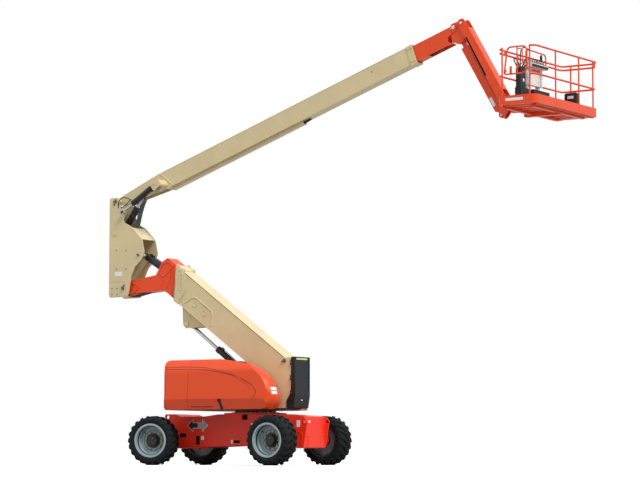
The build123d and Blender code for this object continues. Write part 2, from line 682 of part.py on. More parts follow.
def main_boom_base():
    wall = MAIN_WALL
    rows = [
        (-70, 60, 50), (200, 90, 0), (1130, MAIN_TOP, 0), (MAIN_LENGTH, MAIN_TOP, 0),
        (MAIN_LENGTH, MAIN_BOTTOM, 0), (1250, MAIN_BOTTOM, 0), (150, -130, 0), (-70, -80, 60),
    ]
    body = plate(rows, -MAIN_HALF_WIDTH, MAIN_HALF_WIDTH)
    bore = block(
        (1250, MAIN_LENGTH + 10), (wall - MAIN_HALF_WIDTH, MAIN_HALF_WIDTH - wall),
        (MAIN_BOTTOM + wall, MAIN_TOP - wall),
    )
    inside = MAIN_HALF_WIDTH - wall * 2
    fork = block((160, 1251), (-inside, inside), (-400, 75)) + block((-200, 200), (-inside, inside), (-400, 200))
    collar = block(
        (MAIN_LENGTH - 150, MAIN_LENGTH), (-MAIN_HALF_WIDTH - 8, MAIN_HALF_WIDTH + 8),
        (MAIN_BOTTOM - 8, MAIN_TOP + 8),
    )
    body = body + collar - bore - fork
    body -= pin((0, 0), 42 + PIN_GAP, -400, 400)
    base = main_local(MASTER_BARREL_PIN)
    box_rows = [
        (base[0] - 112, base[1] + 20, 30), (base[0] - 70, base[1] + 105, 30), (base[0] + 130, base[1] + 40, 50),
        (base[0] + 150, base[1] - 90, 50), (base[0] - 70, base[1] - 150, 40),
    ]
    hollow = [(-400, -300, 0), (-400, 88, 0), (95, 88, 0), (95, -300, 0)]
    hollow_rows = [(base[0] + x, base[1] + z, r) for x, z, r in hollow]
    bracket = plate(box_rows, MASTER_Y - 85, -MAIN_HALF_WIDTH) - plate(hollow_rows, MASTER_Y - 68, MASTER_Y + 68)
    bracket += pin(base, PIN_RADIUS, MASTER_Y - 95, -MAIN_HALF_WIDTH)
    body += bracket
    return main_placed(body)


def hose_tray():
    """Channel under the boom that carries the hoses."""
    tray = block((1350, 4900), (-60, 60), (MAIN_BOTTOM - 60, MAIN_BOTTOM))
    tray -= block((1300, 5000), (-55, 55), (MAIN_BOTTOM - 55, MAIN_BOTTOM - 5))
    return main_placed(tray)


def main_fly():
    wall = 7
    half = MAIN_HALF_WIDTH - 20
    top, bottom = MAIN_TOP - 26, MAIN_BOTTOM + 26
    end = main_local(KNUCKLE_PIN)
    slave = main_local(SLAVE_BARREL_PIN)
    rows = [
        (1700, top, 0), (end[0] - 90, top, 0), (end[0] + 70, end[1] + 55, 60), (end[0] + 50, end[1] - 80, 60),
        (end[0] - 170, end[1] - 130, 30), (end[0] - 200, -130, 30), (end[0] - 120, bottom, 0), (1700, bottom, 0),
    ]
    body = plate(rows, -half, half)
    body -= block((1600, end[0] - 330), (wall - half, half - wall), (bottom + wall, top - wall))
    fork = half - 10
    body -= block((end[0] - 700, end[0] + 200), (-fork, fork), (bottom - 50, top - 10))
    body -= block((end[0] - 190, end[0] + 200), (-fork, fork), (bottom - 50, top + 50))
    body += pin(end, 40, -half - 4, half + 4)
    body += pin(slave, PIN_RADIUS, -half, half)
    return main_placed(body)


# ---- jib and platform ----
def jib_knuckle():
    rows = [
        (KNUCKLE_PIN[0] - 75, KNUCKLE_PIN[1] - 40, 50), (KNUCKLE_PIN[0] - 60, KNUCKLE_PIN[1] + 75, 60),
        (JIB_UPPER_PIN[0] + 40, JIB_UPPER_PIN[1] + 75, 60), (JIB_UPPER_PIN[0] + 70, JIB_UPPER_PIN[1] - 60, 60),
        (JIB_LOWER_PIN[0] + 65, JIB_LOWER_PIN[1] - 20, 50), (JIB_LOWER_PIN[0], JIB_LOWER_PIN[1] - 65, 50),
        (SLAVE_EYE[0] - 50, SLAVE_EYE[1] - 45, 40),
    ]
    body = both_sides(rows, 62, 82)
    body -= pin(KNUCKLE_PIN, 40 + PIN_GAP, -400, 400)
    body += block(
        (KNUCKLE_PIN[0] + 60, JIB_UPPER_PIN[0] - 30), (-70, 70), (KNUCKLE_PIN[1] - 10, KNUCKLE_PIN[1] + 10)
    )
    for side in (-1, 1):
        body += pin(JIB_UPPER_PIN, 28, *sorted((side * 62, side * 130)))
    body += pin(JIB_LOWER_PIN, 22, -84, 84)
    return body


def jib_placed(shape, at):
    return tilted(shape, at, JIB_ANGLE)


def jib_upper_arm():
    rows = [
        (-85, 0, 60), (-60, 90, 60), (JIB_LENGTH + 50, 95, 60), (JIB_LENGTH + 85, 0, 60),
        (JIB_LENGTH + 50, -85, 60), (150, -85, 0), (-60, -85, 60),
    ]
    arm = both_sides(rows, 104, 116)
    arm += block((160, JIB_LENGTH - 160), (-104, 104), (83, 95))
    for x in (0, JIB_LENGTH):
        arm -= pin((x, 0), 28 + PIN_GAP, -400, 400)
    return jib_placed(arm, JIB_UPPER_PIN)


def jib_lower_arm():
    body = block((150, JIB_LENGTH - 150), (-50, 50), (-92, 60))
    body -= block((190, JIB_LENGTH - 190), (-42, 42), (-84, 52))
    body += block((0, JIB_LENGTH), (-46, 46), (-38, 38))
    for x in (0, JIB_LENGTH):
        body += pin((x, 0), 40, -50, 50)
        body -= pin((x, 0), 22 + PIN_GAP, -400, 400)
    return jib_placed(body, JIB_LOWER_PIN)


def platform_bracket():
    up, low = BRACKET_UPPER_PIN, BRACKET_LOWER_PIN
    rows = [
        (up[0] - 70, up[1] - 40, 40), (up[0] - 40, up[1] + 70, 50), (up[0] + 80, up[1] + 20, 40),
        (6485, 7140, 0), (6485, 6960, 0),
        (low[0] + 75, low[1] - 20, 40), (low[0] + 20, low[1] - 65, 40), (low[0] - 60, low[1] - 20, 40),
    ]
    body = both_sides(rows, 60, 82)
    body += post(ROTATOR_X, 0, 95, 6930, 7170)
    body += post(ROTATOR_X, 0, 30, 6885, 7215)
    for side in (-1, 1):
        body += pin(up, 28, *sorted((side * 60, side * 130)))
    body += pin(low, 22, -90, 90)
    return body


def platform_support():
    """Fork round the rotator, and the beams under the floor."""
    body = None
    for low, high in ((6893, 6923), (7177, 7207)):
        ear = post(ROTATOR_X, 0, 85, low, high) + block((ROTATOR_X, 6830), (-85, 85), (low, high))
        ear -= post(ROTATOR_X, 0, 30 + PIN_GAP, low - 5, high + 5)
        body = ear if body is None else body + ear
    under = PLATFORM_FLOOR
    body += block((6815, 6845), (-85, 85), (under - 90, 7207))
    body += block((6815, 7560), (-60, 60), (under - 90, under))
    for x in (6960, 7520):
        body += block((x - 40, x + 40), (-1050, 1050), (under - 60, under))
    return body


def platform_floor():
    """Tray of sheet, with its turned-up toe boards, and the ribs below it."""
    low, high = PLATFORM_X
    near, far = PLATFORM_Y
    board = 6
    corner = 110

    def ring(inset, bottom, top):
        rows = [
            (low + inset, near + inset, corner - inset), (high - inset, near + inset, corner - inset),
            (high - inset, far - inset, corner - inset), (low + inset, far - inset, corner - inset),
        ]
        return flat(rows, bottom, top)

    tray = ring(0, PLATFORM_FLOOR, TOE_BOARD_TOP)
    return tray - ring(board, PLATFORM_FLOOR + PLATFORM_PLATE, TOE_BOARD_TOP + 10)


def platform_rails():
    """Rails on three sides and a stub of the fourth; the rear and far sides have a second top tube."""
    left, right = PLATFORM_X[0] + RAIL_INSET, PLATFORM_X[1] - RAIL_INSET
    near, far = PLATFORM_Y[0] + 30, PLATFORM_Y[1] - 5
    near_post = left + 55
    corner = 100
    gate_post = right - 110
    floor = PLATFORM_FLOOR + PLATFORM_PLATE
    low_rear, high_rear = REAR_RAILS
    radius = RAIL_RADIUS
    right_rail = tube_path(
        [(gate_post, near, TOP_RAIL), (right, near, TOP_RAIL), (right, far - 10, TOP_RAIL)], [corner], radius
    )
    mid_path = [(gate_post, near), (right, near), (right, far), (left, far), (left, near), (near_post, near)]
    mid_rail = tube_path([(x, y, MID_RAIL) for x, y in mid_path], [corner, corner, corner, 40], radius)
    body = right_rail + mid_rail
    for z in (low_rear, high_rear):
        path = [(right - 30, far, z), (left, far, z), (left, near, z), (near_post, near, z)]
        body += tube_path(path, [corner, 40], radius)
    body += bar((right - 30, far, low_rear), (right - 30, far, high_rear), radius - 3)
    body += bar((right - 30, far, high_rear), (right, far - 30, TOP_RAIL), radius - 3)
    # rows: x, y, top
    posts = [
        (near_post, near, high_rear + 35), (gate_post, near, TOP_RAIL + 20), (right, -345, TOP_RAIL),
        (right, 630, TOP_RAIL), (right, far - 135, TOP_RAIL), (left + 210, far - 22, high_rear),
        (left, 330, high_rear), (left, -460, high_rear),
    ]
    for x, y, top in posts:
        body += post(x, y, POST_RADIUS, floor, top)
    return body


def platform_gate():
    """Swing gate in the near end: a bent hoop with a bar and a smaller hoop inside it."""
    x0, x1 = PLATFORM_X[0] + 137, PLATFORM_X[1] - 210
    y = PLATFORM_Y[0] + 30
    z0, z1 = MID_RAIL + 25, TOP_RAIL
    radius = 16
    rows = [(x0, z0, 40), (x1, z0, 120), (x1, z1, 100), (x0 + 75, z1, 90)]
    path = Plane.XZ.offset(-y) * profile(rows)
    gate = sweep(Plane(origin=path @ 0, z_dir=path % 0) * Circle(radius), path=path)
    middle = x1 - 210
    gate += bar((middle, y, z0), (middle, y, z1), radius - 3)
    hoop = [(middle, y, z1 - 40), (x1 - 95, y, z1 - 60), (x1 - 95, y, z1 - 320), (middle, y, z1 - 420)]
    gate += tube_path(hoop, [50, 50], radius - 5)
    return gate


CONSOLE_BACK = PLATFORM_X[0] + RAIL_INSET + 25
CONSOLE_FOOT = PLATFORM_FLOOR + PLATFORM_PLATE


def console():
    """Operator's panel on the rear side, on its two legs."""
    back, foot = CONSOLE_BACK, CONSOLE_FOOT
    sloped = [(back, 7730, 0), (back, 7885, 15), (back + 60, 7885, 15), (back + 190, 7790, 15), (back + 190, 7730, 0)]
    body = plate(sloped, -300, 400)
    body += block((back, back + 100), (-280, 320), (7385, 7740))
    body += block((back, back + 60), (-240, -160), (foot, 7390)) + block((back, back + 60), (200, 280), (foot, 7390))
    return body


def cable_column():
    back = CONSOLE_BACK
    rows = [(-600, 7286, 10), (-395, 7286, 10), (-395, 7700, 40), (-600, 7700, 60)]
    face = make_face(Plane.YZ.offset(back + 5) * profile(rows))
    return extrude(face, amount=105, dir=(1, 0, 0))


def footswitch_box():
    back, foot = CONSOLE_BACK, CONSOLE_FOOT
    left = block((back + 5, back + 140), (-640, -320), (foot, 7285))
    right = block((back + 62, back + 150), (-140, 520), (foot, 7300))
    return Compound(children=[left, right])


def console_guard():
    """Bent tube that stands over the panel."""
    x = CONSOLE_BACK + 95
    guard = [
        (x, -300, 7790), (x, -345, 7790), (x, -345, 8065), (x, 470, 8050), (x, 470, 7770), (x, 400, 7770),
    ]
    return tube_path(guard, [40, 60, 90, 40], 15)


# ---- assembly ----
def assembly():
    pieces = {
        "chassis_frame": chassis_frame(),
        "swing_bearing": swing_bearing(),
        "fixed_axle": fixed_axle(),
        "steer_axle": steer_axle(),
        "steer_knuckle_near": steer_knuckle(-1),
        "steer_knuckle_far": steer_knuckle(1),
        "tie_rod": tie_rod(),
        "turntable_deck": turntable_deck(),
        "boom_riser": boom_riser(),
        "counterweight": counterweight(),
        "front_cover": front_cover(),
        "engine_block": engine_block(),
        "hydraulic_tank": hydraulic_tank(),
        "hood_near": hood(-1),
        "hood_far": hood(1),
        "tower_boom_base": tower_boom_base(),
        "tower_boom_fly": tower_fly(),
        "upright": upright(),
        "main_boom_base": main_boom_base(),
        "hose_tray": hose_tray(),
        "main_boom_fly": main_fly(),
        "jib_knuckle": jib_knuckle(),
        "jib_upper_arm": jib_upper_arm(),
        "jib_lower_arm": jib_lower_arm(),
        "platform_bracket": platform_bracket(),
        "platform_support": platform_support(),
        "platform_floor": platform_floor(),
        "platform_rails": platform_rails(),
        "platform_gate": platform_gate(),
        "control_console": console(),
        "cable_column": cable_column(),
        "footswitch_box": footswitch_box(),
        "console_guard": console_guard(),
    }
    pieces.update(wheels())
    # rows: name, barrel pin, rod eye, barrel length, barrel radius, rod radius, way to retract, y
    cylinders = [
        ("tower_lift", TOWER_CYLINDER_BASE, TOWER_CYLINDER_EYE, 1740, 66, 38, 500, 0),
        ("upright_level", LEVEL_BARREL_PIN, LEVEL_EYE, 1040, 80, 36, 460, 0),
        ("main_lift", MAIN_CYLINDER_BASE, MAIN_CYLINDER_EYE, 700, 66, 38, 120, 0),
        ("master_level", MASTER_BARREL_PIN, MASTER_EYE, 740, 60, 28, 130, MASTER_Y),
        ("slave_level", SLAVE_BARREL_PIN, SLAVE_EYE, 760, 36, 18, 210, 0),
    ]
    for name, base, eye, length, barrel_radius, rod_radius, retract, y in cylinders:
        barrel, rod = cylinder_pair(base, eye, length, barrel_radius, rod_radius, retract, y)
        pieces[f"{name}_barrel"] = barrel
        pieces[f"{name}_rod"] = rod
    return pieces


os.makedirs("parts", exist_ok=True)
for name, piece in assembly().items():
    export_step(piece, f"parts/{name}.step")
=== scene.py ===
"""Articulating boom lift: the finish of its CAD frame, its trim and a studio to show it in.

Metres, +Z up, +X from the tail counterweight towards the work platform; the origin is the ground point midway
between the axles.
"""

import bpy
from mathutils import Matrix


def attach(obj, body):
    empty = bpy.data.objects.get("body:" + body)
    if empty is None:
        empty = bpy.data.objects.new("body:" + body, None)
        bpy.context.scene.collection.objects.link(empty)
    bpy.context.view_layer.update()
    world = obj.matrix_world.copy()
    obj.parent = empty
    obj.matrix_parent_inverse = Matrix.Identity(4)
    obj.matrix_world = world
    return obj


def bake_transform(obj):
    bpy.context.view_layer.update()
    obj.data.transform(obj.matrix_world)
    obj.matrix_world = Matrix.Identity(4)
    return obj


bl_info = {
    "name": "Articulating Boom Lift",
    "version": (1, 0, 0),
    "blender": (4, 5, 0),
    "location": "3D View > Sidebar > Boom Lift",
    "description": "Dresses an articulating boom lift with paint, trim, hoses and a studio",
    "category": "Object",
}

from math import cos, hypot, pi, radians, sin

import bmesh
import bpy
from bpy.props import FloatProperty, FloatVectorProperty, PointerProperty
from mathutils import Matrix, Vector

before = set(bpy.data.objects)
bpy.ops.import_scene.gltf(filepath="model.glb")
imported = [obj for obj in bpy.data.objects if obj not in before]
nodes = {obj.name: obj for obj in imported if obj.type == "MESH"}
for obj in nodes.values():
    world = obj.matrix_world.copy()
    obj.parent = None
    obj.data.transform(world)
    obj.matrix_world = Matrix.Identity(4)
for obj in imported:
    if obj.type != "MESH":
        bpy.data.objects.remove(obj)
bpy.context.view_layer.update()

PICTURE_WIDTH = 640
SENSOR_WIDTH = 36.0


# ---- colours ----
def linear(hex_code):
    """sRGB hex to a linear RGBA colour."""
    channels = [int(hex_code[i:i + 2], 16) / 255 for i in (1, 3, 5)]
    return tuple(c / 12.92 if c <= 0.04045 else ((c + 0.055) / 1.055) ** 2.4 for c in channels) + (1.0,)


TAN_PAINT = "#CDBD93"
ORANGE_GELCOAT = "#D8430A"
RED_ORANGE_PAINT = "#EE2E14"
JIB_ORANGE_PAINT = "#E04512"
BLACK_ABS = "#171D20"
TYRE_RUBBER = "#141718"
RIM_PAINT = "#93A3A9"
HUB_PAINT = "#1D2022"
CHROME = "#C9CCCE"
BARREL_PAINT = "#1B1C1E"
BARE_STEEL = "#8E8F8C"
WHITE_PANEL = "#DCDDDA"
GREY_PANEL = "#7F868A"
LABEL_WHITE = "#E4E4E2"


# ---- material tools ----
def new_material(name):
    made = bpy.data.materials.new(name)
    made.use_nodes = True
    tree = made.node_tree
    tree.nodes.clear()
    return made, tree


def add(tree, kind, settings=None, **inputs):
    """Adds a node: settings go on the node, inputs are values or output sockets for its sockets."""
    made = tree.nodes.new(kind)
    for key, value in (settings or {}).items():
        setattr(made, key, value)
    for key, value in inputs.items():
        socket = made.inputs[int(key[1:])] if key[0] == "_" else made.inputs[key.replace("_", " ")]
        if isinstance(value, bpy.types.NodeSocket):
            tree.links.new(value, socket)
        else:
            socket.default_value = value
    return made


def object_place(tree):
    return add(tree, "ShaderNodeTexCoord").outputs["Object"]


def placed_material(name):
    """A new material, its node tree and the surface's place in its object's own directions."""
    made, tree = new_material(name)
    return made, tree, object_place(tree)


def mottled(tree, place, scale, low_hex, high_hex, low=0.35, high=0.65):
    """A colour that drifts between two shades with a noise of so many waves to the metre."""
    noise = add(tree, "ShaderNodeTexNoise", Vector=place, Scale=scale, Detail=4.0, Roughness=0.6)
    ramp = add(tree, "ShaderNodeValToRGB", Fac=noise.outputs["Fac"])
    ramp.color_ramp.elements[0].position = low
    ramp.color_ramp.elements[0].color = linear(low_hex)
    ramp.color_ramp.elements[1].position = high
    ramp.color_ramp.elements[1].color = linear(high_hex)
    return ramp.outputs["Color"]


def shade(hex_code, factor):
    """The same colour, so many times as bright in its sRGB values."""
    values = [min(255, round(int(hex_code[i:i + 2], 16) * factor)) for i in (1, 3, 5)]
    return "#" + "".join(f"{v:02X}" for v in values)


def bumped(tree, place, scale, distance, strength=0.3, detail=2.0):
    """A surface normal with a fine relief: scale in waves to the metre, distance in metres."""
    noise = add(tree, "ShaderNodeTexNoise", Vector=place, Scale=scale, Detail=detail)
    bump = add(tree, "ShaderNodeBump", Height=noise.outputs["Fac"], Strength=strength, Distance=distance)
    return bump.outputs["Normal"]


def uneven(tree, place, scale, detail, low, high):
    """A roughness that drifts between two values with a noise of so many waves to the metre."""
    noise = add(tree, "ShaderNodeTexNoise", Vector=place, Scale=scale, Detail=detail)
    return add(
        tree, "ShaderNodeMapRange", Value=noise.outputs["Fac"], To_Min=low, To_Max=high
    ).outputs["Result"]


def finish_surface(tree, **inputs):
    shader = add(tree, "ShaderNodeBsdfPrincipled", **inputs)
    add(tree, "ShaderNodeOutputMaterial", Surface=shader.outputs["BSDF"])
    return shader


# Sprayed two-pack enamel on steel plate: an even colour, a slight orange-peel ripple and a thin film of dust
# in patches.
def sprayed_enamel(name, hex_code, gloss=0.32, dust=0.25):
    made, tree, place = placed_material(name)
    paint = mottled(tree, place, 1.6, shade(hex_code, 0.98), shade(hex_code, 1.02))
    speckle = add(tree, "ShaderNodeTexNoise", Vector=place, Scale=55.0, Detail=6.0, Roughness=0.7)
    film = add(
        tree, "ShaderNodeMapRange", Value=speckle.outputs["Fac"], From_Min=0.5, From_Max=0.9, To_Max=dust
    )
    dusty = add(
        tree, "ShaderNodeMix", {"data_type": "RGBA"},
        _0=film.outputs["Result"], _6=paint, _7=linear(shade(hex_code, 0.8)),
    )
    rough = add(tree, "ShaderNodeMapRange", Value=speckle.outputs["Fac"], To_Min=gloss, To_Max=gloss + 0.15)
    normal = bumped(tree, place, 180.0, 0.0006, 0.25)
    finish_surface(
        tree, Base_Color=dusty.outputs[2], Roughness=rough.outputs["Result"], Normal=normal,
        IOR=1.45, Coat_Weight=0.04, Coat_Roughness=0.12,
    )
    return made


# The same enamel on a wheel rim, near black on its inner side: painted shade for the shadow there, along with
# brake and road dirt.
def rim_enamel(name, hex_code, bright_from=0.98, dark_to=0.88):
    made = sprayed_enamel(name, hex_code, gloss=0.28, dust=0.5)
    tree = made.node_tree
    shader = next(node for node in tree.nodes if node.type == "BSDF_PRINCIPLED")
    painted = shader.inputs["Base Color"].links[0].from_socket
    across = add(tree, "ShaderNodeSeparateXYZ", Vector=object_place(tree)).outputs["Y"]
    away = add(tree, "ShaderNodeMath", {"operation": "ABSOLUTE"}, _0=across)
    # Darker towards the middle plane: painted shade together with brake and road dirt on the rim's inner
    # side.
    unmarked = add(
        tree, "ShaderNodeMapRange", Value=away.outputs["Value"], From_Min=dark_to, From_Max=bright_from
    )
    mixed = add(
        tree, "ShaderNodeMix", {"data_type": "RGBA"},
        _0=unmarked.outputs["Result"], _6=linear("#1A1916"), _7=painted,
    )
    tree.links.new(mixed.outputs[2], shader.inputs["Base Color"])
    return made


# Gelcoat on glass fibre: sprayed into a polished mould, deep and glossy with a barely waved surface.
def gelcoat(name, hex_code):
    made, tree, place = placed_material(name)
    colour = mottled(tree, place, 0.7, shade(hex_code, 0.98), shade(hex_code, 1.02), 0.2, 0.8)
    rough = uneven(tree, place, 6.0, 3.0, 0.28, 0.38)
    normal = bumped(tree, place, 2.5, 0.004, 0.1, detail=1.0)
    finish_surface(
        tree, Base_Color=colour, Roughness=rough, Normal=normal,
        IOR=1.45, Coat_Weight=0.05, Coat_Roughness=0.1,
    )
    return made


# Acrylonitrile butadiene styrene, moulded against a spark-eroded tool: black with an even leathery grain.
def moulded_abs(name, hex_code, roughness=0.5):
    made, tree, place = placed_material(name)
    colour = mottled(tree, place, 9.0, shade(hex_code, 0.9), shade(hex_code, 1.15))
    cells = add(tree, "ShaderNodeTexVoronoi", Vector=place, Scale=260.0)
    bump = add(tree, "ShaderNodeBump", Height=cells.outputs["Distance"], Strength=0.25, Distance=0.0008)
    rough = add(
        tree, "ShaderNodeMapRange", Value=cells.outputs["Distance"],
        To_Min=roughness - 0.08, To_Max=roughness + 0.1,
    )
    finish_surface(
        tree, Base_Color=colour, Roughness=rough.outputs["Result"], Normal=bump.outputs["Normal"],
        IOR=1.53, Specular_IOR_Level=0.3,
    )
    return made


# Carbon-black tyre rubber, moulded: matt, with dry dust held in its pores.
def tyre_rubber(name, hex_code):
    made, tree, place = placed_material(name)
    unmarked = mottled(tree, place, 14.0, shade(hex_code, 0.85), shade(hex_code, 1.2))
    grit = add(tree, "ShaderNodeTexNoise", Vector=place, Scale=70.0, Detail=8.0, Roughness=0.75)
    film = add(
        tree, "ShaderNodeMapRange", Value=grit.outputs["Fac"], From_Min=0.48, From_Max=0.75, To_Max=0.18
    )
    dusty = add(
        tree, "ShaderNodeMix", {"data_type": "RGBA"},
        _0=film.outputs["Result"], _6=unmarked, _7=linear("#4A4A45"),
    )
    normal = bumped(tree, place, 220.0, 0.001, 0.4, detail=5.0)
    finish_surface(
        tree, Base_Color=dusty.outputs[2], Roughness=0.82, Normal=normal, IOR=1.52, Specular_IOR_Level=0.2
    )
    return made


# Hard chrome on a ground steel rod: mirror bright with grinding marks round it.
def hard_chrome(name, hex_code):
    made, tree, place = placed_material(name)
    rough = uneven(tree, place, 120.0, 4.0, 0.12, 0.26)
    colour = mottled(tree, place, 8.0, shade(hex_code, 0.93), hex_code)
    finish_surface(tree, Base_Color=colour, Metallic=1.0, Roughness=rough)
    return made


# Steel as machined and oiled: grey with darker smears where oil has dried.
def oiled_steel(name, hex_code):
    made, tree, place = placed_material(name)
    colour = mottled(tree, place, 12.0, shade(hex_code, 0.55), shade(hex_code, 0.9))
    rough = uneven(tree, place, 60.0, 6.0, 0.35, 0.6)
    normal = bumped(tree, place, 300.0, 0.0004, 0.3)
    finish_surface(tree, Base_Color=colour, Metallic=0.9, Roughness=rough, Normal=normal)
    return made


# Printed vinyl film pressed onto paint: flat, even and a little glossier than what it lies on.
# The same film also lays thin dark lines of painted shade along grooves and edges.
def vinyl_film(name, hex_code):
    made, tree, place = placed_material(name)
    colour = mottled(tree, place, 20.0, shade(hex_code, 0.96), hex_code)
    rough = uneven(tree, place, 90.0, 3.0, 0.28, 0.42)
    finish_surface(tree, Base_Color=colour, Roughness=rough, IOR=1.47)
    return made


# Zinc plated steel, yellow passivated: thin gold and straw tints over a fine machined grain.
def passivated_zinc(name, low_hex, high_hex):
    made, tree, place = placed_material(name)
    colour = mottled(tree, place, 45.0, low_hex, high_hex)
    rough = uneven(tree, place, 140.0, 4.0, 0.28, 0.48)
    finish_surface(tree, Base_Color=colour, Metallic=1.0, Roughness=rough)
    return made


# Wrapped hydraulic hose: synthetic rubber cured under a cloth tape, which leaves its weave on it.
# The tape's 1.5 mm weave is drawn at 8 mm so that it shows.
def wrapped_hose(name, hex_code):
    made, tree, place = placed_material(name)
    weave = add(
        tree, "ShaderNodeTexWave", {"bands_direction": "DIAGONAL"}, Vector=place, Scale=38.0, Distortion=1.0
    )
    colour = mottled(tree, place, 18.0, shade(hex_code, 0.8), shade(hex_code, 1.15))
    bump = add(tree, "ShaderNodeBump", Height=weave.outputs["Fac"], Strength=0.3, Distance=0.001)
    finish_surface(tree, Base_Color=colour, Roughness=0.55, Normal=bump.outputs["Normal"], IOR=1.5)
    return made


# Injection moulded polycarbonate: clear colour with a hard gloss and a fine prism pattern behind it.
def polycarbonate(name, hex_code):
    made, tree, place = placed_material(name)
    prism = add(tree, "ShaderNodeTexWave", Vector=place, Scale=30.0)
    colour = mottled(tree, place, 25.0, shade(hex_code, 0.9), hex_code)
    bump = add(tree, "ShaderNodeBump", Height=prism.outputs["Fac"], Strength=0.15, Distance=0.001)
    # The faint emission in the lens's own colour is a painted glow: no lamp lights it.
    finish_surface(
        tree, Base_Color=colour, Roughness=0.12, Normal=bump.outputs["Normal"], IOR=1.58,
        Transmission_Weight=0.25, Emission_Color=linear(hex_code), Emission_Strength=0.15,
    )
    return made


# The unlit inside of a box section, seen through an opening: painted, but with dust and no light on it.
def unlit_inside(name, hex_code):
    made, tree, place = placed_material(name)
    colour = mottled(tree, place, 6.0, shade(hex_code, 0.6), hex_code)
    normal = bumped(tree, place, 90.0, 0.001, 0.2)
    finish_surface(tree, Base_Color=colour, Roughness=0.9, Normal=normal, Specular_IOR_Level=0.1)
    return made


MATERIALS = {}


def make_materials():
    MATERIALS.update(
        tan=sprayed_enamel("sprayed_enamel_tan", TAN_PAINT),
        red=sprayed_enamel("sprayed_enamel_red_orange", RED_ORANGE_PAINT, dust=0.4),
        jib=sprayed_enamel("sprayed_enamel_jib_orange", JIB_ORANGE_PAINT),
        orange=gelcoat("gelcoat_orange", ORANGE_GELCOAT),
        abs=moulded_abs("moulded_abs_black", BLACK_ABS),
        panel=moulded_abs("moulded_abs_white", WHITE_PANEL, 0.45),
        tyre=tyre_rubber("moulded_tyre_rubber", TYRE_RUBBER),
        rim=rim_enamel("sprayed_enamel_rim_grey", RIM_PAINT),
        hub=sprayed_enamel("sprayed_enamel_hub_black", HUB_PAINT, gloss=0.4),
        barrel=sprayed_enamel("sprayed_enamel_cylinder_black", BARREL_PAINT, gloss=0.3),
        chrome=hard_chrome("ground_hard_chrome", CHROME),
        steel=oiled_steel("oiled_machined_steel", BARE_STEEL),
        passivated=passivated_zinc("yellow_passivated_zinc", "#9C8A55", "#D8C98C"),
        label=vinyl_film("vinyl_film_white", LABEL_WHITE),
        black_vinyl=vinyl_film("vinyl_film_black", "#1A1A1C"),
        grey_vinyl=vinyl_film("vinyl_film_grey", "#A9A6A8"),
        shadow=unlit_inside("unlit_inside_black", "#141312"),
        orange_shadow=unlit_inside("unlit_recess_orange", "#8E2B10"),
        # Dark orange film: painted shade in the hoods' grab slots and along their band crease, and on the
        # counterweight its dark seam.
        orange_line=vinyl_film("groove_shade_and_seam_orange", "#8E260A"),
        # Dark tan film: painted shadow along the tower boom's top edge.
        tan_line=vinyl_film("painted_shadow_line_tan", "#6F5F3C"),
        rubber=moulded_abs("moulded_rubber_black", "#17181A", 0.6),
        grey_panel=moulded_abs("moulded_abs_grey", GREY_PANEL, 0.42),
        blue_grey=moulded_abs("moulded_abs_blue_grey", "#9FB4C0", 0.42),
        hose=wrapped_hose("wrapped_hose_black", "#1B1C1F"),
        grey_hose=wrapped_hose("wrapped_hose_grey", "#5E6E77"),
        pale_lens=polycarbonate("polycarbonate_pale", "#DDE08A"),
        amber_lens=polycarbonate("polycarbonate_amber", "#E6B84A"),
        pale_pad=moulded_abs("cast_nylon_pale", "#D8CFA8", 0.5),
    )


# rows: node, finish
FINISHES = (
    ("chassis_frame", "red"), ("swing_bearing", "steel"), ("fixed_axle", "red"), ("steer_axle", "red"),
    ("steer_knuckle_near", "hub"), ("steer_knuckle_far", "hub"), ("tie_rod", "steel"),
    # The turntable deck takes the black hub enamel, so that it shows dark below the riser.
    ("turntable_deck", "hub"), ("boom_riser", "tan"), ("counterweight", "orange"), ("front_cover", "abs"),
    ("engine_block", "hub"), ("hydraulic_tank", "hub"), ("hood_near", "orange"), ("hood_far", "orange"),
    ("tower_boom_base", "tan"), ("tower_boom_fly", "jib"), ("upright", "tan"), ("main_boom_base", "tan"),
    ("hose_tray", "tan"), ("main_boom_fly", "jib"), ("jib_knuckle", "jib"), ("jib_upper_arm", "jib"),
    ("jib_lower_arm", "jib"), ("platform_bracket", "jib"), ("platform_support", "jib"),
    ("platform_floor", "jib"), ("platform_rails", "jib"), ("platform_gate", "jib"),
    ("control_console", "panel"), ("cable_column", "abs"), ("footswitch_box", "abs"),
    ("console_guard", "jib"),
)
WHEEL_FINISHES = (("tyre", "tyre"), ("rim", "rim"), ("hub", "hub"))
CYLINDERS = ("tower_lift", "upright_level", "main_lift", "master_level", "slave_level")


def coat(obj, key):
    """Gives every material slot of an object one finish."""
    obj.data.materials.clear()
    obj.data.materials.append(MATERIALS[key])


class BOOMLIFT_OT_finishes(bpy.types.Operator):
    """Paint, rubber and chrome for every CAD node"""
    bl_idname = "boomlift.finishes"
    bl_label = "Finishes"

    def execute(self, context):
        make_materials()
        rows = list(FINISHES)
        for kind, key in WHEEL_FINISHES:
            for end in ("steer", "fixed"):
                rows += [(f"{kind}_{end}_{side}", key) for side in ("near", "far")]
        for name in CYLINDERS:
            rows += [(f"{name}_barrel", "barrel"), (f"{name}_rod", "chrome")]
        for node, key in rows:
            coat(nodes[node], key)
        left = sorted(set(nodes) - {node for node, key in rows})
        if left:
            raise RuntimeError(f"nodes with no finish: {left}")
        return {"FINISHED"}


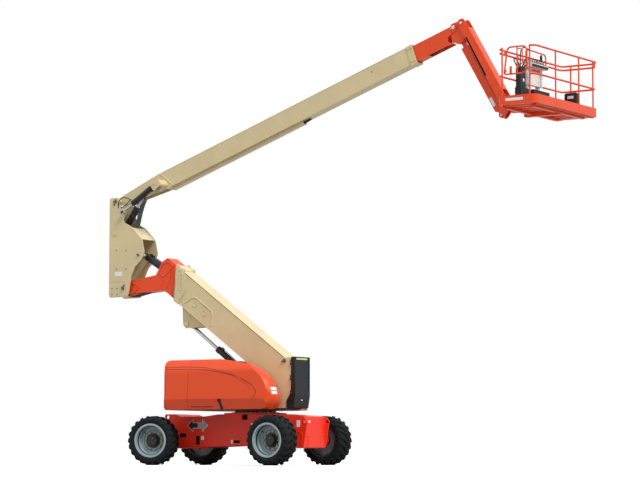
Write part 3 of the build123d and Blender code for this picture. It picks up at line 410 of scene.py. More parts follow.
# ---- places on the machine ----
# rows: x and z where the line starts, its slope in degrees, +1 where it runs towards +X and -1 towards -X
LINES = {
    "level": (0.0, 0.0, 0.0, 1),
    "tower": (1.32, 2.14, 36.0, -1),
    "boom": (-3.063, 5.667, 19.4, 1),
    "jib": (5.43, 8.76, -60.0, 1),
}
WHEELS = (("steer", -1), ("steer", 1), ("fixed", -1), ("fixed", 1))
SIDE_NAMES = {-1: "near", 1: "far"}
STEER_ANGLE = 14.0
AXLE_X = {"steer": -1.525, "fixed": 1.525}
AXLE_HEIGHT = 0.508
KINGPIN_Y = 0.715
STUB_LENGTH = 0.3
FIXED_WHEEL_Y = 1.015

# how far each part's side faces stand from the middle plane
CHASSIS_SIDE = 0.42
RISER_SIDE = 0.275
TOWER_SIDE = 0.205
COLLAR_SIDE = 0.223
GOOSENECK_SIDE = 0.172
UPRIGHT_SIDE = 0.25
BOOM_SIDE = 0.118
BOOM_TIP_SIDE = 0.126
JIB_SIDE = 0.116
# where the rays that look for the hoods' sides start, outside them
HOOD_CLEAR = 1.15
# middle of the swing bearing's bolt circle
BEARING_MIDDLE = (0.42, 0, 1.075)
# heights of the platform floor's lower face and of its tread
FLOOR_UNDERSIDE = 6.868
TREAD_HEIGHT = 6.878
# thickness of labels and painted patches
FILM_THICK = 0.0012


def placed(spot, run, up, out):
    """A place with its own X, Y and Z directions."""
    matrix = Matrix((Vector(run), Vector(up), Vector(out))).transposed().to_4x4()
    matrix.translation = spot
    return matrix


def line_axes(line):
    x, z, slope, way = LINES[line]
    turn = radians(slope)
    along = Vector((way * cos(turn), 0, sin(turn)))
    above = Vector((-way * sin(turn), 0, cos(turn)))
    return Vector((x, 0, z)), along, above


def at(line, u, v, y=0.0):
    """A point u along a line and v up from it."""
    start, run, up = line_axes(line)
    return start + run * u + up * v + Vector((0, y, 0))


def on_side(line, u, v, y, side=-1, turn=0.0):
    """Place on a side face, X along the line and Z outwards, turned so many degrees."""
    _, run, up = line_axes(line)
    return placed(at(line, u, v, side * y), run, up, (0, side, 0)) @ Matrix.Rotation(radians(turn), 4, "Z")


def on_top(line, u, y, v, way=1):
    """Place on a face above a line, or below it where way is -1."""
    _, run, up = line_axes(line)
    return placed(at(line, u, v, y), run, (0, 1, 0), up * way)


def standing(spot):
    """Place whose directions are the machine's own."""
    return placed(spot, (1, 0, 0), (0, 1, 0), (0, 0, 1))


def on_end(x, y, z, way=1):
    """Place on a face that looks along X."""
    return placed((x, y, z), (0, 1, 0), (0, 0, 1), (way, 0, 0))


def aimed(start, end):
    """Place at start whose Z points to end."""
    out = (Vector(end) - Vector(start)).normalized()
    side = out.orthogonal().normalized()
    return placed(start, side, out.cross(side), out)


def landed(node, spot, way):
    """Where a ray from a point first meets a node, and the way that its surface faces there."""
    found, where, normal, _ = nodes[node].ray_cast(Vector(spot), Vector(way))
    if not found:
        raise RuntimeError(f"nothing of {node} at {tuple(spot)}")
    return where, normal


# ---- shapes ----
def settle(shape, name, body, *finishes, crease=35.0):
    """Makes the piece of a shape, with its finishes, and lets it ride on a body."""
    bmesh.ops.remove_doubles(shape, verts=shape.verts, dist=1e-6)
    bmesh.ops.recalc_face_normals(shape, faces=shape.faces)
    mesh = bpy.data.meshes.new(name)
    shape.to_mesh(mesh)
    shape.free()
    for key in finishes:
        mesh.materials.append(MATERIALS[key])
    mesh.shade_smooth()
    mesh.set_sharp_from_angle(angle=radians(crease))
    made = bpy.data.objects.new(name, mesh)
    bpy.context.collection.objects.link(made)
    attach(made, body)
    return made


def skin(shape, rings, finish=0, closed_round=True):
    """Faces between rings of points, each ring as long as the next or a single point."""
    made = [[shape.verts.new(point) for point in ring] for ring in rings]
    for low, high in zip(made, made[1:]):
        count = max(len(low), len(high))
        for i in range(count if closed_round else count - 1):
            j = (i + 1) % count
            corners = [low[i % len(low)], low[j % len(low)], high[j % len(high)], high[i % len(high)]]
            corners = list(dict.fromkeys(corners))
            face = shape.faces.new(corners)
            face.material_index = finish
    return made


def turned(shape, place, rows, steps=20, finish=0):
    """Solid of revolution about a place's Z from rows of (radius, height)."""
    rings = []
    for radius, height in rows:
        turns = [2 * pi * i / steps for i in range(steps)] if radius else [0]
        rings.append([place @ Vector((radius * cos(a), radius * sin(a), height)) for a in turns])
    skin(shape, rings, finish)


def slab(shape, place, outline, thick, finish=0, edge=0.0, base=0.0):
    """Plate with a flat outline of (across, up), its upper rim bevelled by edge."""
    low = [shape.verts.new(place @ Vector((u, v, base))) for u, v in outline]
    high = [shape.verts.new(place @ Vector((u, v, base + thick))) for u, v in outline]
    count = len(outline)
    faces = [shape.faces.new(low), shape.faces.new(high)]
    faces += [
        shape.faces.new((low[i], low[(i + 1) % count], high[(i + 1) % count], high[i]))
        for i in range(count)
    ]
    for face in faces:
        face.material_index = finish
    if edge:
        rim = list(faces[1].edges)
        bmesh.ops.bevel(
            shape, geom=rim, offset=edge, segments=2, profile=0.6, affect="EDGES", clamp_overlap=True
        )


def flat_label(shape, place, width, height, finish=0, radius=0.006):
    """Blank label or painted patch with round corners."""
    slab(shape, place, rounded(width, height, radius), FILM_THICK, finish)


def rounded(width, height, radius, middle=(0.0, 0.0), steps=4):
    """Outline of a rectangle with round corners."""
    points = []
    for sx, sy, start in ((1, 1, 0), (-1, 1, 90), (-1, -1, 180), (1, -1, 270)):
        for i in range(steps + 1):
            a = radians(start + 90 * i / steps)
            u = middle[0] + sx * (width / 2 - radius) + radius * cos(a)
            v = middle[1] + sy * (height / 2 - radius) + radius * sin(a)
            points.append((u, v))
    return points


def bead(shape, place, path, width, height, finish=0, closed=False):
    """Raised round-topped rib along a flat path of (across, up)."""
    section = [(-0.5, 0.0), (-0.36, 0.7), (0.0, 1.0), (0.36, 0.7), (0.5, 0.0)]
    count = len(path)
    rings = []
    for i, (u, v) in enumerate(path):
        before = path[(i - 1) % count] if closed or i else path[i]
        after = path[(i + 1) % count] if closed or i < count - 1 else path[i]
        du, dv = after[0] - before[0], after[1] - before[1]
        size = hypot(du, dv)
        reach, rise = du / size * width, dv / size * width
        rings.append([place @ Vector((u - rise * s, v + reach * s, height * h)) for s, h in section])
    if closed:
        rings.append(rings[0])
    skin(shape, rings, finish, closed_round=False)


def rounded_path(corners, radius, steps=5, closed=True):
    """A flat path whose corners are rounded off with short curves."""
    points = []
    count = len(corners)
    for i, corner in enumerate(corners):
        if not closed and i in (0, count - 1):
            points.append(corner)
            continue
        here = Vector(corner)
        before = Vector(corners[i - 1]) - here
        after = Vector(corners[(i + 1) % count]) - here
        cut = min(radius, before.length / 2, after.length / 2)
        a, b = here + before.normalized() * cut, here + after.normalized() * cut
        for k in range(steps + 1):
            t = k / steps
            points.append(tuple(a * (1 - t) ** 2 + here * 2 * t * (1 - t) + b * t ** 2))
    return points


def draped(shape, node, place, width, height, thick, finish=0, cells=(8, 4)):
    """Thin sheet laid on a node's surface, seen against the place's Z."""
    out = (place.to_3x3() @ Vector((0, 0, 1))).normalized()
    across, up = cells
    rows = []
    for j in range(up + 1):
        row = []
        for i in range(across + 1):
            spot = place @ Vector((width * (i / across - 0.5), height * (j / up - 0.5), 0.3))
            where, normal = landed(node, spot, -out)
            row.append((where, normal if normal.dot(out) > 0 else -normal))
        rows.append(row)
    top = [[shape.verts.new(where + normal * thick) for where, normal in row] for row in rows]
    for j in range(up):
        for i in range(across):
            face = shape.faces.new((top[j][i], top[j][i + 1], top[j + 1][i + 1], top[j + 1][i]))
            face.material_index = finish
    rim = [(0, i) for i in range(across)] + [(j, across) for j in range(up)]
    rim += [(up, i) for i in range(across, 0, -1)] + [(j, 0) for j in range(up, 0, -1)]
    low = [shape.verts.new(rows[j][i][0] - rows[j][i][1] * thick) for j, i in rim]
    for k, (j, i) in enumerate(rim):
        nj, ni = rim[(k + 1) % len(rim)]
        face = shape.faces.new((top[j][i], top[nj][ni], low[(k + 1) % len(rim)], low[k]))
        face.material_index = finish


def draped_line(shape, node, path, side, width, thick, finish=0):
    """Thin strip laid on a node's side along a path of (x, z)."""
    rows = []
    for i, (x, z) in enumerate(path):
        before, after = path[max(i - 1, 0)], path[min(i + 1, len(path) - 1)]
        du, dv = after[0] - before[0], after[1] - before[1]
        reach = width / 2 / hypot(du, dv)
        edges = [(x - dv * reach * k, z + du * reach * k) for k in (-1, 0, 1)]
        rows.append([landed(node, (u, side * 1.6, v), (0, -side, 0))[0] for u, v in edges])
    lift = Vector((0, side, 0)) * thick
    rings = [
        [low - lift, low + lift * 0.3, mid + lift, high + lift * 0.3, high - lift] for low, mid, high in rows
    ]
    skin(shape, rings, finish, closed_round=False)


def hex_bolt(shape, place, flats, finish=0, washer=True):
    """Bolt head with its chamfer, and a washer under it."""
    radius = flats / 2 / cos(pi / 6)
    base = 0.0
    if washer:
        base = flats * 0.13
        disc = [(radius * 1.25, 0), (radius * 1.25, base * 0.8), (radius * 1.2, base), (0, base)]
        turned(shape, place, disc, 16, finish)
    high = base + flats * 0.6
    turned(shape, place, [(radius, base), (radius, high * 0.88), (radius * 0.86, high), (0, high)], 6, finish)


def wheel_nut(shape, place, flats, finish=0):
    """Nut on its stud with a coned washer."""
    radius = flats / 2 / cos(pi / 6)
    turned(shape, place, [(radius * 1.3, 0), (radius * 1.1, flats * 0.25), (0, flats * 0.25)], 16, finish)
    hexagon = [(radius, flats * 0.2), (radius, flats), (radius * 0.86, flats * 1.1), (0, flats * 1.1)]
    turned(shape, place, hexagon, 6, finish)
    thread = flats * 0.33
    stud = [(thread, flats), (thread, flats * 1.5), (thread * 0.8, flats * 1.6), (0, flats * 1.6)]
    turned(shape, place, stud, 12, finish)


def pin_end(shape, place, radius, pin_finish=0, plate_finish=1, turn=40.0):
    """End of a hinge pin with its centre drilling, held by a keeper plate and two bolts."""
    rows = [
        (radius, 0), (radius, 0.007), (radius - 0.004, 0.011), (radius * 0.3, 0.011), (radius * 0.2, 0.004),
        (0, 0.004),
    ]
    turned(shape, place, rows, 28, pin_finish)
    keeper = place @ Matrix.Rotation(radians(turn), 4, "Z")
    outline = rounded(radius * 1.7, radius * 0.8, radius * 0.38, middle=(radius * 1.0, 0))
    slab(shape, keeper, outline, 0.006, plate_finish, 0.001, base=-0.002)
    hex_bolt(shape, keeper @ Matrix.Translation((radius * 1.42, 0, 0.004)), radius * 0.45, pin_finish, False)


# body, finishes of pin and keeper, then x, z, distance from the middle plane, radius and keeper turn in
# degrees of each pin
PIN_ENDS = {
    "riser_pin_ends": ("turntable", "steel", "tan", (
        (1.32, 2.14, RISER_SIDE, 0.043, 200), (0.85, 1.37, RISER_SIDE, 0.031, 90),
    )),
    "upright_pin_ends": ("upright", "steel", "hub", (
        (-2.86, 3.78, 0.265, 0.043, 60), (-2.446, 4.472, 0.265, 0.031, 170),
        (-3.063, 5.667, 0.265, 0.040, 235),
    )),
    "boom_tip_pin_ends": ("main_fly", "chrome", "jib", (
        (5.235, 8.688, 0.102, 0.038, 205), (4.25, 8.12, 0.098, 0.030, 20),
    )),
    "knuckle_pin_ends": ("jib_knuckle", "chrome", "jib", ((5.43, 8.76, 0.130, 0.026, 250),)),
    "bracket_pin_ends": ("platform_bracket", "chrome", "jib", (
        (6.3375, 7.188, 0.130, 0.026, 300), (6.3125, 6.848, 0.090, 0.021, 120),
    )),
}


def pin_ends(name):
    """Both ends of the pins that PIN_ENDS gives a piece."""
    body, pin, keeper, rows = PIN_ENDS[name]
    shape = bmesh.new()
    for side in (-1, 1):
        for x, z, y, radius, turn in rows:
            pin_end(shape, on_side("level", x, z, y, side), radius, 0, 1, turn)
    settle(shape, name, body, pin, keeper)


def hoses(name, body, routes, radius, finish="hose", resolution=10, hinge=None):
    """Hoses of one size along listed points; with a hinge given they are left as a mesh that rides on no
    body.
    """
    curve = bpy.data.curves.new(name, "CURVE")
    curve.dimensions = "3D"
    curve.bevel_depth = radius
    curve.bevel_resolution = 3
    curve.resolution_u = resolution
    curve.use_fill_caps = True
    for route in routes:
        line = curve.splines.new("NURBS")
        line.points.add(len(route) - 1)
        for point, place in zip(line.points, route):
            point.co = (*place, 1.0)
        line.order_u = 4
        line.use_endpoint_u = True
    curve.materials.append(MATERIALS[finish])
    made = bpy.data.objects.new(name, curve)
    bpy.context.collection.objects.link(made)
    if hinge:
        bpy.context.view_layer.update()
        graph = bpy.context.evaluated_depsgraph_get()
        mesh = bpy.data.meshes.new_from_object(made.evaluated_get(graph))
        bpy.data.objects.remove(made)
        mesh.name = name
        made = bpy.data.objects.new(name, mesh)
        bpy.context.collection.objects.link(made)
        mesh.shade_smooth()
        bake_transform(made)
    else:
        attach(made, body)
    return made


# ---- running gear ----
def wheel_place(end, side):
    """Centre of a wheel, Z outwards."""
    turn = radians(STEER_ANGLE) if end == "steer" else 0.0
    out = Vector((-side * sin(turn), side * cos(turn), 0))
    if end == "steer":
        kingpin = Vector((AXLE_X[end], side * KINGPIN_Y, AXLE_HEIGHT))
        centre = kingpin + out * STUB_LENGTH
    else:
        centre = Vector((AXLE_X[end], side * FIXED_WHEEL_Y, AXLE_HEIGHT))
    return placed(centre, out.cross((0, 0, 1)), (0, 0, 1), out)


def ringed(place, radius, count, height, start=0.0):
    """Places round a circle, each turned to face along its radius."""
    for i in range(count):
        a = start + 2 * pi * i / count
        spot = Matrix.Translation((radius * cos(a), radius * sin(a), height))
        yield place @ spot @ Matrix.Rotation(a, 4, "Z")


# profiles of (radius, height outwards) round a wheel's axis
GUTTER_LIP = [(0.3155, 0.150), (0.309, 0.148), (0.3065, 0.143)]
GUTTER_GROOVE = [(0.3065, 0.143), (0.305, 0.118), (0.299, 0.106), (0.290, 0.101)]
GUTTER_WELL = [(0.290, 0.101), (0.285, 0.092), (0.284, 0.070), (0.283, 0.0)]
DISC_GROOVE = [(0.214, 0.004), (0.214, 0.0065), (0.206, 0.0065), (0.206, 0.004)]
VALVE = [
    (0.011, 0), (0.011, 0.012), (0.006, 0.016), (0.006, 0.05), (0.0075, 0.051), (0.0075, 0.066),
    (0.005, 0.07), (0, 0.07),
]
# radius and height of each raised ring on the tyre's side
TYRE_RINGS = ((0.393, 0.2095), (0.405, 0.2107), (0.432, 0.2135))
NUT_CIRCLE, NUT_COUNT = 0.178, 10
HUB_BOLT_CIRCLE, HUB_BOLT_COUNT = 0.09, 8
HUB_FACE = 0.09


class BOOMLIFT_OT_wheel_trim(bpy.types.Operator):
    """Nuts, lock rings, valves and hub plugs of the four wheels"""
    bl_idname = "boomlift.wheel_trim"
    bl_label = "Wheel Trim"

    def execute(self, context):
        for end, side in WHEELS:
            where = f"{end}_{SIDE_NAMES[side]}"
            body = f"wheel_{where}"
            place = wheel_place(end, side)
            shape = bmesh.new()
            for spot in ringed(place, NUT_CIRCLE, NUT_COUNT, 0.0):
                wheel_nut(shape, spot, 0.03, 0)
            for spot in ringed(place, HUB_BOLT_CIRCLE, HUB_BOLT_COUNT, HUB_FACE, 0.2):
                turned(shape, spot, [(0.008, 0), (0.008, 0.007), (0.006, 0.009), (0, 0.009)], 12, 1)
            for spot in ringed(place, 0.05, 1, HUB_FACE, 1.9):
                turned(shape, spot, [(0.02, 0), (0.02, 0.006), (0.016, 0.009), (0, 0.009)], 16, 1)
                hex_bolt(shape, spot @ Matrix.Translation((0, 0, 0.008)), 0.018, 0, False)
            settle(shape, f"wheel_nuts_{where}", body, "passivated", "hub")

            shape = bmesh.new()
            # The grooves take the black hub enamel: painted shade for the dark in them.
            for profile, steps, finish in (
                (GUTTER_LIP, 72, 0), (GUTTER_GROOVE, 72, 1), (GUTTER_WELL, 72, 0), (DISC_GROOVE, 64, 1),
            ):
                turned(shape, place, profile, steps, finish)
            settle(shape, f"rim_gutter_{where}", body, "rim", "hub")

            shape = bmesh.new()
            for radius, height in TYRE_RINGS:
                ring = [
                    (radius - 0.004, height - 0.004), (radius - 0.002, height + 0.002),
                    (radius + 0.002, height + 0.002), (radius + 0.004, height - 0.004),
                ]
                turned(shape, place, ring, 72, 0)
            settle(shape, f"tyre_ribs_{where}", body, "tyre")

            shape = bmesh.new()
            spot = place @ Matrix.Translation((0.2, 0.155, 0.0)) @ Matrix.Rotation(radians(-25), 4, "X")
            turned(shape, spot, VALVE, 14, 0)
            settle(shape, f"tyre_valve_{where}", body, "abs")
        return {"FINISHED"}


def arrow_outline(grow, half=0):
    """Double arrow, or its left half where half is -1 and right half where it is +1."""
    left = [(-0.25 - grow * 1.6, 0.0), (-0.125 + grow, 0.12 + grow * 1.9), (-0.125 + grow, 0.05 + grow)]
    if half:
        side = left + [(0.0, 0.05 + grow), (0.0, -0.05 - grow)] + [(u, -v) for u, v in reversed(left)][:-1]
        return [(-half * u, v) for u, v in side]
    right = [(-u, v) for u, v in reversed(left)]
    upper = left + right
    return upper + [(u, -v) for u, v in reversed(upper)][1:-1]


# rows: x, z, width, height, corner radius, of the openings in the side plates
CHASSIS_SLOTS = (
    (-1.125, 0.622, 0.155, 0.085, 0.012), (-0.745, 0.512, 0.092, 0.185, 0.012),
    (0.243, 0.482, 0.165, 0.055, 0.02), (0.443, 0.984, 0.13, 0.105, 0.01),
)
# rows: x, z, width, height
CHASSIS_LABELS = (
    (-0.625, 0.562, 0.075, 0.085), (0.122, 0.482, 0.048, 0.078), (0.625, 0.805, 0.055, 0.115),
    (1.765, 0.845, 0.085, 0.135),
)


# rows: x, z, size across flats
AXLE_BOLTS = (
    (1.36, 0.66, 0.03), (1.69, 0.66, 0.03), (1.36, 0.36, 0.03), (1.69, 0.36, 0.03),
    (-1.36, 0.62, 0.027), (-1.36, 0.40, 0.027), (-1.62, 0.62, 0.027), (-1.62, 0.40, 0.027),
)
CHASSIS_END = 1.88
EYE_RING = [(0.036, -0.004), (0.036, 0.006), (0.042, 0.009), (0.05, 0.007), (0.052, -0.004)]
BEARING_TEETH = [(0.4305, 0.002), (0.436, 0.006), (0.436, 0.014), (0.4305, 0.018)]
BEARING_SEAL = [(0.4305, 0.026), (0.434, 0.029), (0.434, 0.034), (0.4305, 0.038)]


class BOOMLIFT_OT_chassis_trim(bpy.types.Operator):
    """Direction arrows, openings, blank labels, ribs and bolts of the chassis"""
    bl_idname = "boomlift.chassis_trim"
    bl_label = "Chassis Trim"

    def execute(self, context):
        for side in (-1, 1):
            where = SIDE_NAMES[side]
            place = on_side("level", -0.749, 0.822, CHASSIS_SIDE, side)
            shape = bmesh.new()
            slab(shape, place, arrow_outline(0.009), 0.0010, 0)
            slab(shape, place, arrow_outline(0.0, -1), 0.0018, 1)
            slab(shape, place, arrow_outline(0.0, 1), 0.0018, 2)
            settle(shape, f"direction_arrows_{where}", "chassis", "label", "black_vinyl", "grey_vinyl")

            shape = bmesh.new()
            for x, z, width, height, radius in CHASSIS_SLOTS:
                place = on_side("level", x, z, CHASSIS_SIDE, side)
                # Each opening is a flat dark sheet of painted shade inside a raised rim.
                flat_label(shape, place, width, height, 0, radius)
                edge = rounded(width + 0.006, height + 0.006, radius + 0.003)
                bead(shape, place, edge, 0.008, 0.003, 1, True)
            settle(shape, f"chassis_openings_{where}", "chassis", "shadow", "red")

            shape = bmesh.new()
            for x, z, width, height in CHASSIS_LABELS:
                flat_label(shape, on_side("level", x, z, CHASSIS_SIDE, side), width, height)
            settle(shape, f"chassis_labels_{where}", "chassis", "label")

            shape = bmesh.new()
            arc = rounded_path([(-0.09, 0.11), (0.07, 0.11), (0.07, -0.12)], 0.09, 8, False)
            bead(shape, on_side("level", 1.79, 0.56, CHASSIS_SIDE, side), arc, 0.022, 0.010, 0)
            mirrored = [(-u, v) for u, v in arc]
            bead(shape, on_side("level", -1.42, 0.66, CHASSIS_SIDE, side), mirrored, 0.022, 0.010, 0)
            for x, z in ((1.93, 0.886), (-1.52, 1.0)):
                turned(shape, on_side("level", x, z, CHASSIS_SIDE, side), EYE_RING, 28, 0)
            settle(shape, f"chassis_ribs_{where}", "chassis", "red")

            shape = bmesh.new()
            for x, z, flats in AXLE_BOLTS:
                hex_bolt(shape, on_side("level", x, z, CHASSIS_SIDE, side), flats, 0)
            settle(shape, f"axle_bolts_{where}", "chassis", "passivated")

        shape = bmesh.new()
        flat_label(shape, on_end(CHASSIS_END, -0.19, 0.887), 0.07, 0.045, 0, 0.005)
        settle(shape, "chassis_end_label", "chassis", "label")
        shape = bmesh.new()
        for y in (-0.3, 0.3):
            arc = rounded_path([(-0.09, 0.07), (0.05, 0.07), (0.05, -0.16)], 0.09, 8, False)
            bead(shape, on_end(CHASSIS_END, y + 0.02, 0.53), arc, 0.02, 0.009, 0)
        settle(shape, "chassis_end_ribs", "chassis", "red")
        shape = bmesh.new()
        bearing = standing(BEARING_MIDDLE)
        for spot in ringed(bearing, 0.485, 32, 0.0):
            hex_bolt(shape, spot, 0.022, 0)
        settle(shape, "bearing_bolts", "chassis", "passivated")
        shape = bmesh.new()
        turned(shape, bearing, BEARING_TEETH, 96, 0)
        turned(shape, bearing, BEARING_SEAL, 96, 1)
        settle(shape, "bearing_seals", "chassis", "steel", "abs")
        return {"FINISHED"}


# ---- turntable ----
# rows: x, y, z, width, height of the blank labels on the near hood's end
HOOD_LABELS = ((1.52, -0.955, 1.548, 0.17, 0.060), (1.54, -0.965, 1.468, 0.17, 0.064))


# x and z of the upper edge of the hood's side band, and of its lower edge
BAND_TOP = [
    (-1.113, 1.974), (-0.9, 1.972), (-0.52, 1.968), (-0.49, 1.967), (-0.25, 1.957), (-0.044, 1.944),
    (0.15, 1.918), (0.333, 1.886), (0.52, 1.845), (0.706, 1.798), (0.84, 1.752), (0.954, 1.703),
    (1.04, 1.655), (1.102, 1.61), (1.16, 1.555), (1.2, 1.498), (1.2, 1.455), (1.188, 1.417), (1.14, 1.375),
]
BAND_LOW = [
    (-1.12, 1.365), (-0.52, 1.362), (-0.49, 1.362), (0.3, 1.355), (0.9, 1.352), (1.078, 1.352),
    (1.14, 1.375),
]
HOOD_START = -0.5


# rows: x, z, width, height, thickness and cells of each part of a hood's rubber latch
LATCH = (
    (0.318, 1.266, 0.165, 0.045, 0.012, (10, 3)), (0.305, 1.325, 0.05, 0.07, 0.02, (4, 4)),
    (0.345, 1.175, 0.07, 0.05, 0.018, (3, 4)),
)
LATCH_TURN = 102.5
GRAB_X, GRAB_Z = -0.16, 1.195
GRAB_LIPS = (1.2165, 1.1735)
GRAB_CELLS = (24, 2)


def band_part(path, carried):
    """The part of a path that lies on the hood where carried, or else on the counterweight."""
    return [spot for spot in path if (spot[0] > HOOD_START) == carried]


class BOOMLIFT_OT_hood_trim(bpy.types.Operator):
    """Rubber latches, grab slots, band lines and blank labels of the two hoods"""
    bl_idname = "boomlift.hood_trim"
    bl_label = "Hood Trim"

    def execute(self, context):
        for side in (-1, 1):
            where = SIDE_NAMES[side]
            node = f"hood_{where}"
            shape = bmesh.new()
            for x, z, width, height, thick, cells in LATCH:
                place = on_side("level", x, z, HOOD_CLEAR, side, LATCH_TURN)
                draped(shape, node, place, width, height, thick, 0, cells)
            settle(shape, f"hood_latch_{where}", node, "rubber")

            shape = bmesh.new()
            # The grab slot is a thin dark orange film, painted shade for its recess.
            grab = on_side("level", GRAB_X, GRAB_Z, HOOD_CLEAR, side)
            draped(shape, node, grab, 0.56, 0.022, FILM_THICK, 0, GRAB_CELLS)
            settle(shape, f"hood_grab_slot_{where}", node, "orange_line")
            shape = bmesh.new()
            for z in GRAB_LIPS:
                lip = on_side("level", GRAB_X, z, HOOD_CLEAR, side)
                draped(shape, node, lip, 0.58, 0.009, 0.004, 0, GRAB_CELLS)
            settle(shape, f"hood_grab_lip_{where}", node, "orange")
            for carried, body in ((True, node), (False, "counterweight")):
                shape = bmesh.new()
                # The upper band line is a thin dark orange film, painted shade along the crease.
                draped_line(shape, body, band_part(BAND_TOP, carried), side, 0.021, 0.0015, 0)
                draped_line(shape, body, band_part(BAND_LOW, carried), side, 0.010, 0.006, 1)
                if not carried:
                    seam = [(-1.07, 1.17 + 0.1 * i) for i in range(10)]
                    draped_line(shape, body, seam, side, 0.012, 0.0015, 0)
                rider = node if carried else "turntable"
                settle(shape, f"{body}_band_{where}", rider, "orange_line", "orange")
        shape = bmesh.new()
        for x, y, z, width, height in HOOD_LABELS:
            draped(shape, "hood_near", on_end(x, y, z), width, height, FILM_THICK, 0, (8, 4))
        settle(shape, "hood_labels", "hood_near", "label")
        shape = bmesh.new()
        for side in (-1, 1):
            place = on_end(-1.2, side * 0.92, 1.50, -1)
            draped(shape, "counterweight", place, 0.1, 0.07, FILM_THICK, 0, (4, 4))
        settle(shape, "counterweight_labels", "turntable", "label")
        return {"FINISHED"}


HINGE_X = 1.497
HINGE_HEIGHTS = (2.093, 1.787, 1.481)


class BOOMLIFT_OT_riser_trim(bpy.types.Operator):
    """Pin ends, hinge tabs and lamp of the riser and the front cover"""
    bl_idname = "boomlift.riser_trim"
    bl_label = "Riser Trim"

    def execute(self, context):
        pin_ends("riser_pin_ends")

        shape = bmesh.new()
        for side in (-1, 1):
            for z in HINGE_HEIGHTS:
                hinge = on_side("level", HINGE_X, z, RISER_SIDE, side)
                slab(shape, hinge, rounded(0.05, 0.1, 0.01), 0.014, 0, 0.003)
                spot = on_side("level", HINGE_X, z, RISER_SIDE + 0.014, side)
                turned(shape, spot, [(0.008, -0.001), (0.008, 0.003), (0, 0.004)], 12, 1)
        settle(shape, "cover_hinges", "turntable", "abs", "passivated")

        shape = bmesh.new()
        slab(shape, on_end(1.590, -0.034, 2.168), rounded(0.40, 0.034, 0.008), 0.005, 0, 0.002)
        slab(shape, on_top("level", 1.5375, -0.02, 2.1805), rounded(0.056, 0.42, 0.01), 0.030, 0, 0.006)
        settle(shape, "cover_lens", "turntable", "pale_lens")
        shape = bmesh.new()
        slab(shape, on_end(1.578, -0.013, 1.328), rounded(0.05, 0.022, 0.0105), 0.004, 0, 0.001)
        settle(shape, "cover_slot_label", "turntable", "label")
        shape = bmesh.new()
        spot = on_top("level", 1.50, 0.10, 1.170, -1)
        turned(shape, spot, [(0.026, -0.004), (0.026, 0.014), (0.022, 0.018)], 20, 0)
        lens = [(0.021, 0.017), (0.023, 0.03), (0.021, 0.046), (0.015, 0.056), (0.007, 0.06), (0, 0.061)]
        turned(shape, spot, lens, 20, 1)
        settle(shape, "cover_lamp", "turntable", "abs", "amber_lens")
        return {"FINISHED"}


# ---- booms ----
TOWER_PANEL = [(1.98, -0.50), (2.12, -0.235), (2.70, -0.235), (2.83, -0.50)]
GOOSENECK_PANEL = [(3.56, -0.05), (3.62, -0.36), (3.79, -0.36), (3.82, -0.16), (3.70, -0.02)]
# world x and z
GOOSENECK_ARC = [(-2.68, 3.89), (-2.505, 3.82), (-2.505, 3.76), (-2.74, 3.59)]
TOWER_BOSSES = ((2.585, -0.352), (2.28, -0.373))
TOWER_BOSS = [(0.066, -0.002), (0.064, 0.008), (0.056, 0.011), (0.048, 0.003), (0, 0.003)]
# the collar at the tower boom's tip leans this far from square to it, in degrees
COLLAR_TURN = -32
TOWER_TOP = 0.032


